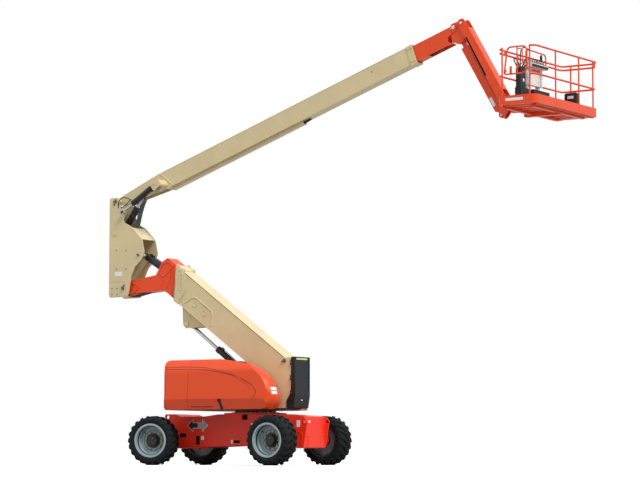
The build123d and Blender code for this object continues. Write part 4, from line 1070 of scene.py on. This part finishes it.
class BOOMLIFT_OT_tower_trim(bpy.types.Operator):
    """Ribs, bosses, bolts, lugs and wear pads of the tower boom and its gooseneck"""
    bl_idname = "boomlift.tower_trim"
    bl_label = "Tower Trim"

    def execute(self, context):
        shape = bmesh.new()
        for side in (-1, 1):
            base = on_side("tower", 0, 0, TOWER_SIDE, side)
            bead(shape, base, rounded_path(TOWER_PANEL, 0.09, 6, False), 0.024, 0.014, 0)
            for u, v in TOWER_BOSSES:
                spot = on_side("tower", u, v, TOWER_SIDE, side)
                turned(shape, spot, TOWER_BOSS, 32, 0)
            oval = rounded(0.080, 0.350, 0.0395, steps=6)
            place = on_side("tower", 3.165, -0.185, COLLAR_SIDE, side, COLLAR_TURN)
            bead(shape, place, oval, 0.018, 0.009, 0, True)
            for u, v in ((3.44, 0.005), (3.33, 0.01), (3.055, -0.575), (2.985, -0.46)):
                hex_bolt(shape, on_side("tower", u, v, COLLAR_SIDE, side), 0.022, 0)
            bead(shape, base, [(0.10, 0.000), (3.22, 0.000)], 0.010, 0.004, 0)
            # A thin dark line of painted shadow along the edge below the top plate.
            bead(shape, base, [(0.10, 0.021), (3.20, 0.021)], 0.016, 0.0025, 1)
            bead(shape, base, [(0.66, -0.583), (2.94, -0.583)], 0.010, 0.004, 0)
        for u in (3.28, 3.45):
            for y in (-0.185, 0.185):
                lug = on_top("tower", u, y, TOWER_TOP)
                slab(shape, lug, rounded(0.07, 0.045, 0.012), 0.035, 0, 0.006)
                hex_bolt(shape, lug @ Matrix.Translation((0, 0, 0.034)), 0.03, 0)
        settle(shape, "tower_ribs", "tower_base", "tan", "tan_line")

        shape = bmesh.new()
        for side in (-1, 1):
            strip = on_side("tower", 3.276, -0.287, 0.219, side, COLLAR_TURN)
            slab(shape, strip, rounded(0.014, 0.70, 0.006), 0.004, 0, 0.001)
            slab(shape, on_side("tower", 2.58, -0.71, 0.14, side), rounded(0.03, 0.03, 0.01), 0.003, 0, 0.001)
        slab(shape, on_top("tower", 3.465, 0, TOWER_TOP), rounded(0.02, 0.36, 0.008), 0.012, 0, 0.003)
        settle(shape, "tower_wear_pads", "tower_base", "pale_pad")

        shape = bmesh.new()
        for side in (-1, 1):
            face = on_side("tower", 0, 0, GOOSENECK_SIDE, side)
            bead(shape, face, rounded_path(GOOSENECK_PANEL, 0.05, 4), 0.022, 0.014, 0, True)
            bead(shape, face, [(3.42, -0.52), (3.50, -0.20), (3.56, -0.04)], 0.022, 0.014, 0)
            bead(shape, face, [(3.60, -0.44), (3.56, -0.60)], 0.022, 0.014, 0)
            low = on_side("level", 0, 0, GOOSENECK_SIDE, side)
            bead(shape, low, rounded_path(GOOSENECK_ARC, 0.05, 5, False), 0.022, 0.013, 0)
            for u, v in ((3.55, -0.02), (3.20, -0.56)):
                hex_bolt(shape, on_side("tower", u, v, GOOSENECK_SIDE, side), 0.02, 0)
        settle(shape, "gooseneck_ribs", "tower_fly", "jib")
        return {"FINISHED"}


# rows: x, z, bolt size across flats
UPRIGHT_BOLTS = (
    (-3.137, 5.653, 0.020), (-3.117, 5.583, 0.024), (-3.0, 5.591, 0.020), (-2.944, 5.422, 0.020),
    (-3.046, 4.594, 0.016), (-2.794, 4.583, 0.016), (-3.042, 4.195, 0.016), (-2.791, 4.185, 0.016),
    (-3.16, 3.779, 0.016), (-3.025, 3.774, 0.016), (-3.159, 3.649, 0.016), (-3.024, 3.645, 0.016),
)
UPRIGHT_PLATE = [(-3.235, 3.925), (-2.80, 3.925), (-2.77, 3.80), (-2.765, 3.62), (-3.235, 3.60)]


class BOOMLIFT_OT_upright_trim(bpy.types.Operator):
    """Pin ends, bolts, ribs and a blank label of the upright"""
    bl_idname = "boomlift.upright_trim"
    bl_label = "Upright Trim"

    def execute(self, context):
        pin_ends("upright_pin_ends")
        shape = bmesh.new()
        for side in (-1, 1):
            for x, z, flats in UPRIGHT_BOLTS:
                hex_bolt(shape, on_side("level", x, z, UPRIGHT_SIDE, side), flats, 0)
        settle(shape, "upright_bolts", "upright", "hub")
        shape = bmesh.new()
        for side in (-1, 1):
            place = on_side("level", 0, 0, UPRIGHT_SIDE, side)
            bead(shape, place, rounded_path(UPRIGHT_PLATE, 0.08, 6, True), 0.013, 0.005, 0, True)
        settle(shape, "upright_ribs", "upright", "tan")
        shape = bmesh.new()
        for side in (-1, 1):
            flat_label(shape, on_side("level", -2.99, 4.087, UPRIGHT_SIDE, side), 0.19, 0.09)
        settle(shape, "upright_labels", "upright", "label")
        return {"FINISHED"}


class BOOMLIFT_OT_boom_trim(bpy.types.Operator):
    """Seams, pads, pin ends and bolts of the main boom"""
    bl_idname = "boomlift.boom_trim"
    bl_label = "Main Boom Trim"

    def execute(self, context):
        shape = bmesh.new()
        for side in (-1, 1):
            place = on_side("boom", 0, 0, BOOM_SIDE, side)
            bead(shape, place, [(1.19, 0.14), (1.26, 0.05), (1.36, -0.10), (1.42, -0.21)], 0.020, 0.009, 0)
            bead(shape, place, [(1.30, 0.150), (7.70, 0.150)], 0.010, 0.004, 0)
            bead(shape, place, [(1.45, -0.218), (7.70, -0.218)], 0.010, 0.004, 0)
        settle(shape, "boom_seams", "main_base", "tan")
        shape = bmesh.new()
        _, run, up = line_axes("boom")
        under, _ = landed("main_boom_base", at("boom", 1.16, -1.0, -0.05), up)
        place = placed(under, run, (0, 1, 0), -up)
        slab(shape, place, rounded(0.24, 0.10, 0.015), 0.055, 0, 0.008, base=-0.01)
        settle(shape, "boom_hose_clamp", "main_base", "abs")
        shape = bmesh.new()
        for side in (-1, 1):
            for u in (7.735, 7.815):
                for v in (0.105, -0.17):
                    spot = on_side("boom", u, v, BOOM_TIP_SIDE, side)
                    slab(shape, spot, rounded(0.05, 0.05, 0.012), 0.004, 1, 0.001)
                    hex_bolt(shape, spot @ Matrix.Translation((0, 0, 0.003)), 0.018, 0, False)
            # A small round patch of painted shade on each side.
            flat_label(shape, on_side("boom", 6.80, 0.03, BOOM_SIDE, side), 0.028, 0.028, 2, 0.0135)
        for u in (7.735, 7.815):
            for y in (-0.06, 0.06):
                hex_bolt(shape, on_top("boom", u, y, 0.166), 0.018, 0)
        settle(shape, "boom_pad_bolts", "main_base", "passivated", "tan", "shadow")
        pin_ends("boom_tip_pin_ends")
        return {"FINISHED"}


class BOOMLIFT_OT_jib_trim(bpy.types.Operator):
    """Pin ends, seams, hose slot and blank labels of the jib"""
    bl_idname = "boomlift.jib_trim"
    bl_label = "Jib Trim"

    def execute(self, context):
        pin_ends("knuckle_pin_ends")
        shape = bmesh.new()
        for side in (-1, 1):
            place = on_side("jib", 0, 0, JIB_SIDE, side)
            bead(shape, place, [(-0.02, 0.075), (1.82, 0.080)], 0.010, 0.004, 0)
            bead(shape, place, [(1.42, 0.075), (1.50, 0.0), (1.46, -0.07)], 0.010, 0.004, 0)
        settle(shape, "jib_seams", "jib_upper_arm", "jib")
        shape = bmesh.new()
        for side in (-1, 1):
            # The hose slot is a flat dark sheet of painted shade for the dark between the arms.
            slot = on_side("jib", 0.77, -0.062, JIB_SIDE, side, -1.2)
            slab(shape, slot, rounded(0.92, 0.032, 0.015), 0.0014, 0)
        settle(shape, "jib_hose_slot", "jib_upper_arm", "shadow")
        shape = bmesh.new()
        for side in (-1, 1):
            flat_label(shape, on_side("jib", 1.74, -0.238, 0.050, side), 0.20, 0.06)
        settle(shape, "jib_labels", "jib_lower_arm", "label")
        pin_ends("bracket_pin_ends")
        return {"FINISHED"}


# rows: name, barrel pin x and z, rod eye x and z, barrel length, barrel radius, rod radius, y, and the side
# that the ports face
CYLINDER_ROWS = (
    ("tower_lift", 0.85, 1.37, -1.262, 2.975, 1.74, 0.066, 0.038, 0.0, 1),
    ("upright_level", -2.446, 4.472, -1.104, 3.654, 1.04, 0.080, 0.036, 0.0, 1),
    ("main_lift", -3.09, 4.95, -2.488, 5.806, 0.70, 0.066, 0.038, 0.0, -1),
    ("master_level", -1.943, 5.969, -2.835, 5.410, 0.74, 0.060, 0.028, -0.31, -1),
    ("slave_level", 4.25, 8.12, 5.265, 8.43, 0.76, 0.036, 0.018, 0.0, -1),
)


PORT_FROM_PIN = 0.16
PORT_FROM_GLAND = 0.1


class BOOMLIFT_OT_cylinder_trim(bpy.types.Operator):
    """Glands, ports, hard lines and fittings of the hydraulic cylinders"""
    bl_idname = "boomlift.cylinder_trim"
    bl_label = "Cylinder Trim"

    def execute(self, context):
        for name, x0, z0, x1, z1, length, radius, rod, y, face in CYLINDER_ROWS:
            start, end = Vector((x0, y, z0)), Vector((x1, y, z1))
            run = (end - start).normalized()
            up = Vector((-run.z, 0, run.x)) * (1 if run.x > 0 else -1) * face
            body = f"{name}_barrel"
            shape = bmesh.new()
            base = placed(start, run, (0, 1, 0), up)
            cap = aimed(start + run * length, end)
            gland = [
                (radius + 0.004, -0.002), (radius + 0.004, 0.003), (rod + 0.018, 0.003),
                (rod + 0.014, 0.009), (rod + 0.003, 0.009),
            ]
            turned(shape, cap, gland, 28, 0)
            for spot in ringed(cap, (radius + rod) / 2 + 0.005, 6, 0.002):
                turned(shape, spot, [(0.006, 0), (0.006, 0.006), (0, 0.006)], 10, 1)
            for reach in (PORT_FROM_PIN, length - PORT_FROM_GLAND):
                port = base @ Matrix.Translation((reach, 0, radius - 0.006))
                tall = radius * 0.48
                slab(shape, port, rounded(radius * 1.1, radius * 0.85, 0.006), tall, 0, 0.003)
                fitting = port @ Matrix.Translation((0, 0, tall - 0.002))
                turned(shape, fitting, [(0.013, 0), (0.013, 0.014), (0.009, 0.018), (0, 0.018)], 6, 1)
            settle(shape, f"{name}_fittings", body, "barrel", "passivated")
            line = [base @ Vector(p) for p in (
                (0.185, 0.012, radius + 0.012), (0.24, 0.014, radius + 0.014), (0.3, 0.016, radius + 0.006),
                (length - 0.26, 0.016, radius + 0.006), (length - 0.18, 0.014, radius + 0.014),
                (length - 0.125, 0.012, radius + 0.012),
            )]
            hoses(f"{name}_hard_line", body, [line], 0.006, "barrel")
        shape = bmesh.new()
        eye, _ = landed("master_level_rod", (-2.835, -0.9, 5.447), (0, 1, 0))
        pin_end(shape, on_side("level", -2.835, 5.410, -eye.y), 0.030, 0, 0, 250)
        settle(shape, "master_level_rod_pin", "master_level_rod", "hub")
        return {"FINISHED"}


# rows: x, z and the share of its lean that each hose has there, of the bundle from the boom to the upright
BUNDLE_ROUTE = (
    (-2.40, 5.88, 1.0), (-2.47, 5.76, 1.0), (-2.583, 5.58, 1.0), (-2.661, 5.30, 1.0), (-2.74, 5.02, 0.7),
    (-2.80, 4.86, 0.5), (-2.88, 4.72, 0.4),
)
BUNDLE_HINGE = {"start": (-2.42, 0, 5.84), "end": (-2.76, 0, 4.98)}
MASTER_ROUTES = (
    (
        (-2.98, -0.235, 5.47), (-3.02, -0.26, 5.58), (-2.96, -0.275, 5.69), (-2.84, -0.28, 5.735),
        (-2.72, -0.285, 5.71), (-2.64, -0.30, 5.66),
    ),
    (
        (-2.95, -0.24, 5.50), (-2.86, -0.26, 5.53), (-2.74, -0.27, 5.60), (-2.66, -0.285, 5.66),
        (-2.62, -0.30, 5.665),
    ),
)
# rows: place along and above the tower boom's line, how much lower each next hose is, share of its y
GOOSENECK_ROUTE = (
    (3.45, -0.555, 0.0, 1.0), (3.62, -0.66, 0.01, 1.0), (3.86, -0.90, 0.0, 1.0), (4.06, -1.14, 0.0, 1.0),
    (4.22, -1.27, 0.0, 1.0), (4.33, -1.25, 0.0, 0.6),
)
# rows: x, z, how much higher each next hose is, share of its y
TOWER_LIFT_ROUTE = (
    (0.60, 1.44, 0.0, 1.0), (0.46, 1.62, 0.0, 1.2), (0.20, 1.87, 0.0, 1.5), (-0.12, 2.13, 0.01, 1.5),
    (-0.36, 2.30, 0.0, 1.3), (-0.44, 2.33, 0.0, 1.0),
)
# rows: place along and above the boom's line
TRAY_ROUTE = ((1.34, -0.262), (1.6, -0.262), (3.2, -0.262), (4.6, -0.262), (4.93, -0.262), (5.06, -0.245))


class BOOMLIFT_OT_hose_runs(bpy.types.Operator):
    """Hydraulic hoses between the booms and in the tray under the main boom"""
    bl_idname = "boomlift.hose_runs"
    bl_label = "Hoses"

    def execute(self, context):
        routes = []
        for i in range(4):
            y = 0.085 + 0.024 * i
            lean = 0.014 * (i - 1.5) - 0.06
            routes.append([(x + lean * share, y, z) for x, z, share in BUNDLE_ROUTE])
        hoses("boom_hose_bundle", "main_base", routes, 0.013, "grey_hose", hinge=("upright", BUNDLE_HINGE))
        hoses("master_hoses", "upright", MASTER_ROUTES, 0.010, "hose")
        routes = []
        for i in range(4):
            y = -0.07 + 0.045 * i
            routes.append([at("tower", u, v - drop * i, y * share) for u, v, drop, share in GOOSENECK_ROUTE])
        hoses("gooseneck_hoses", "tower_fly", routes, 0.013, "hose")
        routes = []
        for i, y in enumerate((-0.055, -0.02, 0.02)):
            routes.append([(x, y * share, z + rise * i) for x, z, rise, share in TOWER_LIFT_ROUTE])
        hoses("tower_lift_hoses", "tower_lift_barrel", routes, 0.018, "hose")
        routes = [[at("boom", u, v, -0.03 + 0.03 * i) for u, v in TRAY_ROUTE] for i in range(3)]
        hoses("tray_hoses", "main_base", routes, 0.012, "hose")
        return {"FINISHED"}


# ---- platform ----
TOE_BOARD_FACE = 7.69
TOE_BOARD_MIDDLE = 6.955
RIB_COUNT = 9
# raised marks of the floor's tread, along X and along Y
TREAD_COUNT = (12, 34)


class BOOMLIFT_OT_platform_trim(bpy.types.Operator):
    """Blank plates, floor ribs, tread and document box of the work platform"""
    bl_idname = "boomlift.platform_trim"
    bl_label = "Platform Trim"

    def execute(self, context):
        shape = bmesh.new()
        flat_label(shape, on_side("level", 7.217, 6.965, 1.22), 0.376, 0.052)
        flat_label(shape, on_end(TOE_BOARD_FACE, 0.05, TOE_BOARD_MIDDLE), 0.62, 0.09, 1)
        # Two narrow strips of painted shade on the toe board's face.
        for y in (-0.38, 0.557):
            flat_label(shape, on_end(TOE_BOARD_FACE, y, TOE_BOARD_MIDDLE), 0.006, 0.16, 2, 0.0025)
        settle(shape, "platform_plates", "platform", "label", "jib", "orange_shadow")

        shape = bmesh.new()
        for i in range(RIB_COUNT):
            y = -1.06 + 0.265 * i
            place = placed((7.27, y, FLOOR_UNDERSIDE), (1, 0, 0), (0, 1, 0), (0, 0, -1))
            bead(shape, place, [(-0.36, 0.0), (0.36, 0.0)], 0.05, 0.022, 0)
        for x in (6.93, 7.61):
            place = placed((x, 0.08, FLOOR_UNDERSIDE), (0, 1, 0), (1, 0, 0), (0, 0, -1))
            bead(shape, place, [(-1.2, 0.0), (1.2, 0.0)], 0.04, 0.026, 0)
        settle(shape, "floor_ribs", "platform", "jib")

        shape = bmesh.new()
        place = standing((7.24, 0.05, TREAD_HEIGHT))
        for i in range(TREAD_COUNT[0]):
            for j in range(TREAD_COUNT[1]):
                middle = Matrix.Translation((-0.36 + 0.0655 * i, -1.16 + 0.0703 * j, 0))
                turn = Matrix.Rotation(radians(45 if (i + j) % 2 else -45), 4, "Z")
                bead(shape, place @ middle @ turn, [(-0.016, 0), (0, 0), (0.016, 0)], 0.008, 0.003, 0)
        settle(shape, "floor_tread", "platform", "jib")

        shape = bmesh.new()
        face = placed((7.5325, 0.50, 0), (1, 0, 0), (0, 0, 1), (0, -1, 0))
        lid = rounded_path([(-0.1325, 6.880), (0.1325, 6.880), (0.1325, 7.268), (-0.1325, 7.262)], 0.03, 4)
        slab(shape, face, lid, 0.07, 0, 0.008, base=-0.07)
        slab(shape, face, rounded(0.135, 0.055, 0.004, middle=(0.0, 7.178)), FILM_THICK, 1)
        settle(shape, "document_box", "platform", "abs", "label")
        return {"FINISHED"}


CONSOLE_BACK = 6.915
# rows of (x from the console's back, y, z)
CONSOLE_CABLES = (
    (
        (0.1, -0.26, 7.86), (0.11, -0.17, 8.02), (0.11, -0.30, 8.085), (0.11, -0.50, 8.085),
        (0.12, -0.61, 8.00), (0.1, -0.60, 7.84), (0.08, -0.55, 7.69),
    ),
    ((0.08, -0.29, 7.86), (0.13, -0.38, 7.90), (0.13, -0.46, 7.86), (0.08, -0.48, 7.69)),
    ((0.09, -0.29, 7.80), (0.15, -0.36, 7.78), (0.14, -0.41, 7.74), (0.07, -0.44, 7.69)),
    (
        (0.06, -0.52, 7.69), (0.05, -0.60, 7.80), (0.05, -0.76, 7.87), (0.06, -0.78, 7.78),
        (0.06, -0.66, 7.70), (0.06, -0.59, 7.62),
    ),
)
LEVER_BOOT = [(0.02, 0), (0.017, 0.008), (0.012, 0.014), (0.006, 0.018), (0.005, 0.04)]
LEVER_KNOB = [(0.005, 0.036), (0.011, 0.04), (0.014, 0.05), (0.012, 0.06), (0.006, 0.065), (0, 0.066)]
TOGGLE = [(0.008, 0), (0.008, 0.004), (0.003, 0.005), (0.004, 0.018), (0, 0.019)]
STOP_BUTTON = [(0.034, 0), (0.034, 0.004), (0.028, 0.008), (0, 0.008)]


class BOOMLIFT_OT_console_trim(bpy.types.Operator):
    """Levers, switches, cables and blank plates of the operator's console"""
    bl_idname = "boomlift.console_trim"
    bl_label = "Console Trim"

    def execute(self, context):
        back = CONSOLE_BACK
        slope = Vector((0.13, 0, -0.095)).normalized()
        out = Vector((0.095, 0, 0.13)).normalized()
        top = placed((back + 0.125, 0.05, 7.8375), (0, 1, 0), -slope, out)
        shape = bmesh.new()
        slab(shape, top, rounded(0.66, 0.135, 0.01), 0.004, 0, 0.001)
        slab(shape, on_end(back + 0.19, 0.05, 7.760), rounded(0.68, 0.052, 0.01), 0.004, 1, 0.001)
        for i in range(7):
            spot = top @ Matrix.Translation((-0.27 + 0.09 * i, 0.02, 0.004))
            turned(shape, spot, LEVER_BOOT, 14, 1)
            turned(shape, spot, LEVER_KNOB, 14, 1)
        for i in range(8):
            spot = top @ Matrix.Translation((-0.28 + 0.08 * i, -0.04, 0.004))
            turned(shape, spot, TOGGLE, 10, 2)
        settle(shape, "console_controls", "platform", "grey_panel", "abs", "passivated")
        shape = bmesh.new()
        slab(shape, on_end(back + 0.1, -0.015, 7.51), rounded(0.31, 0.25, 0.006), 0.0015, 0)
        for y in (-0.232, 0.245):
            slab(shape, on_end(back + 0.1, y, 7.53), rounded(0.07, 0.27, 0.01), 0.004, 1, 0.001)
        slab(shape, on_end(back + 0.1, 0.05, 7.682), rounded(0.34, 0.045, 0.006), 0.0015, 2)
        turned(shape, on_end(back + 0.11, -0.481, 7.434), STOP_BUTTON, 24, 0)
        settle(shape, "console_plates", "platform", "label", "blue_grey", "jib")
        loops = [[(back + x, y, z) for x, y, z in cable] for cable in CONSOLE_CABLES]
        hoses("console_cables", "platform", loops, 0.012, "hose")
        shape = bmesh.new()
        grip = standing((back + 0.095, 0.275, 7.90))
        turned(shape, grip, [(0.02, 0), (0.026, 0.01), (0.024, 0.10), (0.018, 0.125), (0, 0.13)], 16, 0)
        settle(shape, "console_grip", "platform", "rubber")
        return {"FINISHED"}


class BOOMLIFT_OT_gate_trim(bpy.types.Operator):
    """Hinge sleeves and latch plate of the gate"""
    bl_idname = "boomlift.gate_trim"
    bl_label = "Gate Trim"

    def execute(self, context):
        shape = bmesh.new()
        for x, z in ((7.015, 7.52), (7.015, 7.88)):
            place = standing((x, -1.19, z))
            turned(shape, place, [(0.0165, -0.03), (0.022, -0.028), (0.022, 0.028), (0.0165, 0.03)], 18, 0)
        place = on_side("level", 7.14, 7.47, 1.19)
        slab(shape, place, rounded(0.05, 0.14, 0.01, middle=(0, 0.06)), 0.012, 0, 0.003, base=0.012)
        settle(shape, "gate_fittings", "gate", "jib")
        return {"FINISHED"}


FLOOR_DROP = 0.001
SUN_WIDTH = 14.0
FAR_CLIP = 2000.0


class StudioSettings(bpy.types.PropertyGroup):
    camera_place: FloatVectorProperty(
        name="Camera place", description="Where the camera stands", default=(29.66, -42.51, 0.24),
        subtype="XYZ", unit="LENGTH",
    )
    camera_turn: FloatProperty(
        name="Camera turn", description="Turn to the left from facing +Y", default=radians(33.036),
        subtype="ANGLE",
    )
    camera_tilt: FloatProperty(
        name="Camera tilt", description="Tilt above level", default=radians(4.916), subtype="ANGLE"
    )
    focal_pixels: FloatProperty(
        name="Focal length", description="Focal length in pixels of a 640 pixel wide picture", default=2482.4
    )
    key_strength: FloatProperty(name="Key light", description="Strength of the soft sun", default=2.6)
    key_lean: FloatProperty(
        name="Key lean", description="How far the sun leans from overhead", default=radians(41),
        subtype="ANGLE",
    )
    key_turn: FloatProperty(
        name="Key turn", description="How far the sun is turned from the near side towards the platform",
        default=radians(68), subtype="ANGLE",
    )
    sky_strength: FloatProperty(
        name="Sky light", description="Strength of the light from overhead", default=1.1
    )
    low_sky: FloatProperty(
        name="Low sky", description="Light near the horizon, as a share of overhead", default=0.25
    )
    floor_half: FloatProperty(
        name="Floor", description="Half the side of the floor", default=400.0, unit="LENGTH"
    )


def pale_floor_material():
    """Seamless white paper: matt, white to the eye, and throwing less light back up than it shows."""
    made, tree = new_material("seamless_white_paper")
    seen = add(tree, "ShaderNodeLightPath").outputs["Is Camera Ray"]
    colour = add(
        tree, "ShaderNodeMix", {"data_type": "RGBA"}, _0=seen, _6=linear("#B4B4B4"), _7=linear("#F4F4F4")
    )
    shader = add(tree, "ShaderNodeBsdfDiffuse", Color=colour.outputs[2], Roughness=0.6)
    add(tree, "ShaderNodeOutputMaterial", Surface=shader.outputs["BSDF"])
    return made


class BOOMLIFT_OT_studio(bpy.types.Operator):
    """Floor, soft light and camera"""
    bl_idname = "boomlift.studio"
    bl_label = "Studio"

    def execute(self, context):
        made = context.scene.boomlift_studio
        half = made.floor_half
        mesh = bpy.data.meshes.new("studio_floor")
        mesh.from_pydata(
            [(-half, -half, 0), (half, -half, 0), (half, half, 0), (-half, half, 0)], [], [(0, 1, 2, 3)]
        )
        floor = bpy.data.objects.new("studio_floor", mesh)
        floor.location.z = -FLOOR_DROP
        context.collection.objects.link(floor)
        mesh.materials.append(pale_floor_material())

        sun = bpy.data.lights.new("key_light", "SUN")
        sun.energy = made.key_strength
        sun.angle = radians(SUN_WIDTH)
        lamp = bpy.data.objects.new("key_light", sun)
        lamp.rotation_euler = (made.key_lean, 0, made.key_turn)
        context.collection.objects.link(lamp)

        world = bpy.data.worlds.new("studio_sky")
        world.use_nodes = True
        tree = world.node_tree
        tree.nodes.clear()
        light = add(tree, "ShaderNodeLightPath")
        way = add(tree, "ShaderNodeSeparateXYZ", Vector=add(tree, "ShaderNodeTexCoord").outputs["Generated"])
        height = add(
            tree, "ShaderNodeMapRange", {"interpolation_type": "SMOOTHSTEP"}, Value=way.outputs["Z"],
            From_Min=0.02, From_Max=0.7, To_Min=made.sky_strength * made.low_sky, To_Max=made.sky_strength,
        )
        sky = add(tree, "ShaderNodeBackground", Color=(1, 1, 1, 1), Strength=height.outputs["Result"])
        white = add(tree, "ShaderNodeBackground", Color=(1, 1, 1, 1), Strength=1.0)
        straight = add(
            tree, "ShaderNodeMath", {"operation": "MAXIMUM"},
            _0=light.outputs["Is Camera Ray"], _1=light.outputs["Is Transmission Ray"],
        )
        seen = add(
            tree, "ShaderNodeMath", {"operation": "MAXIMUM"},
            _0=straight.outputs["Value"], _1=light.outputs["Is Glossy Ray"],
        )
        mix = add(
            tree, "ShaderNodeMixShader", _0=seen.outputs["Value"], _1=sky.outputs[0], _2=white.outputs[0]
        )
        add(tree, "ShaderNodeOutputWorld", Surface=mix.outputs[0])
        context.scene.world = world

        lens = bpy.data.cameras.new("camera")
        lens.sensor_width = SENSOR_WIDTH
        lens.lens = made.focal_pixels * SENSOR_WIDTH / PICTURE_WIDTH
        lens.clip_end = FAR_CLIP
        camera = bpy.data.objects.new("camera", lens)
        camera.location = made.camera_place
        camera.rotation_euler = (pi / 2 + made.camera_tilt, 0, made.camera_turn)
        context.collection.objects.link(camera)
        context.scene.camera = camera
        context.scene.view_settings.view_transform = "Standard"
        return {"FINISHED"}


OPERATORS = (
    BOOMLIFT_OT_studio, BOOMLIFT_OT_finishes, BOOMLIFT_OT_wheel_trim, BOOMLIFT_OT_chassis_trim,
    BOOMLIFT_OT_hood_trim, BOOMLIFT_OT_riser_trim, BOOMLIFT_OT_tower_trim, BOOMLIFT_OT_upright_trim,
    BOOMLIFT_OT_boom_trim, BOOMLIFT_OT_jib_trim, BOOMLIFT_OT_cylinder_trim, BOOMLIFT_OT_hose_runs,
    BOOMLIFT_OT_platform_trim, BOOMLIFT_OT_console_trim, BOOMLIFT_OT_gate_trim,
)


class BOOMLIFT_PT_panel(bpy.types.Panel):
    """The pieces of the boom lift, in the order they are made"""
    bl_label = "Boom Lift"
    bl_space_type = "VIEW_3D"
    bl_region_type = "UI"
    bl_category = "Boom Lift"

    def draw(self, context):
        for operator in OPERATORS:
            self.layout.operator(operator.bl_idname)


CLASSES = (StudioSettings, *OPERATORS, BOOMLIFT_PT_panel)


def register():
    for cls in CLASSES:
        bpy.utils.register_class(cls)
    bpy.types.Scene.boomlift_studio = PointerProperty(type=StudioSettings)


def unregister():
    del bpy.types.Scene.boomlift_studio
    for cls in reversed(CLASSES):
        bpy.utils.unregister_class(cls)


def main():
    register()
    for operator in OPERATORS:
        group, name = operator.bl_idname.split(".")
        getattr(getattr(bpy.ops, group), name)()


if __name__ == "__main__":
    main()
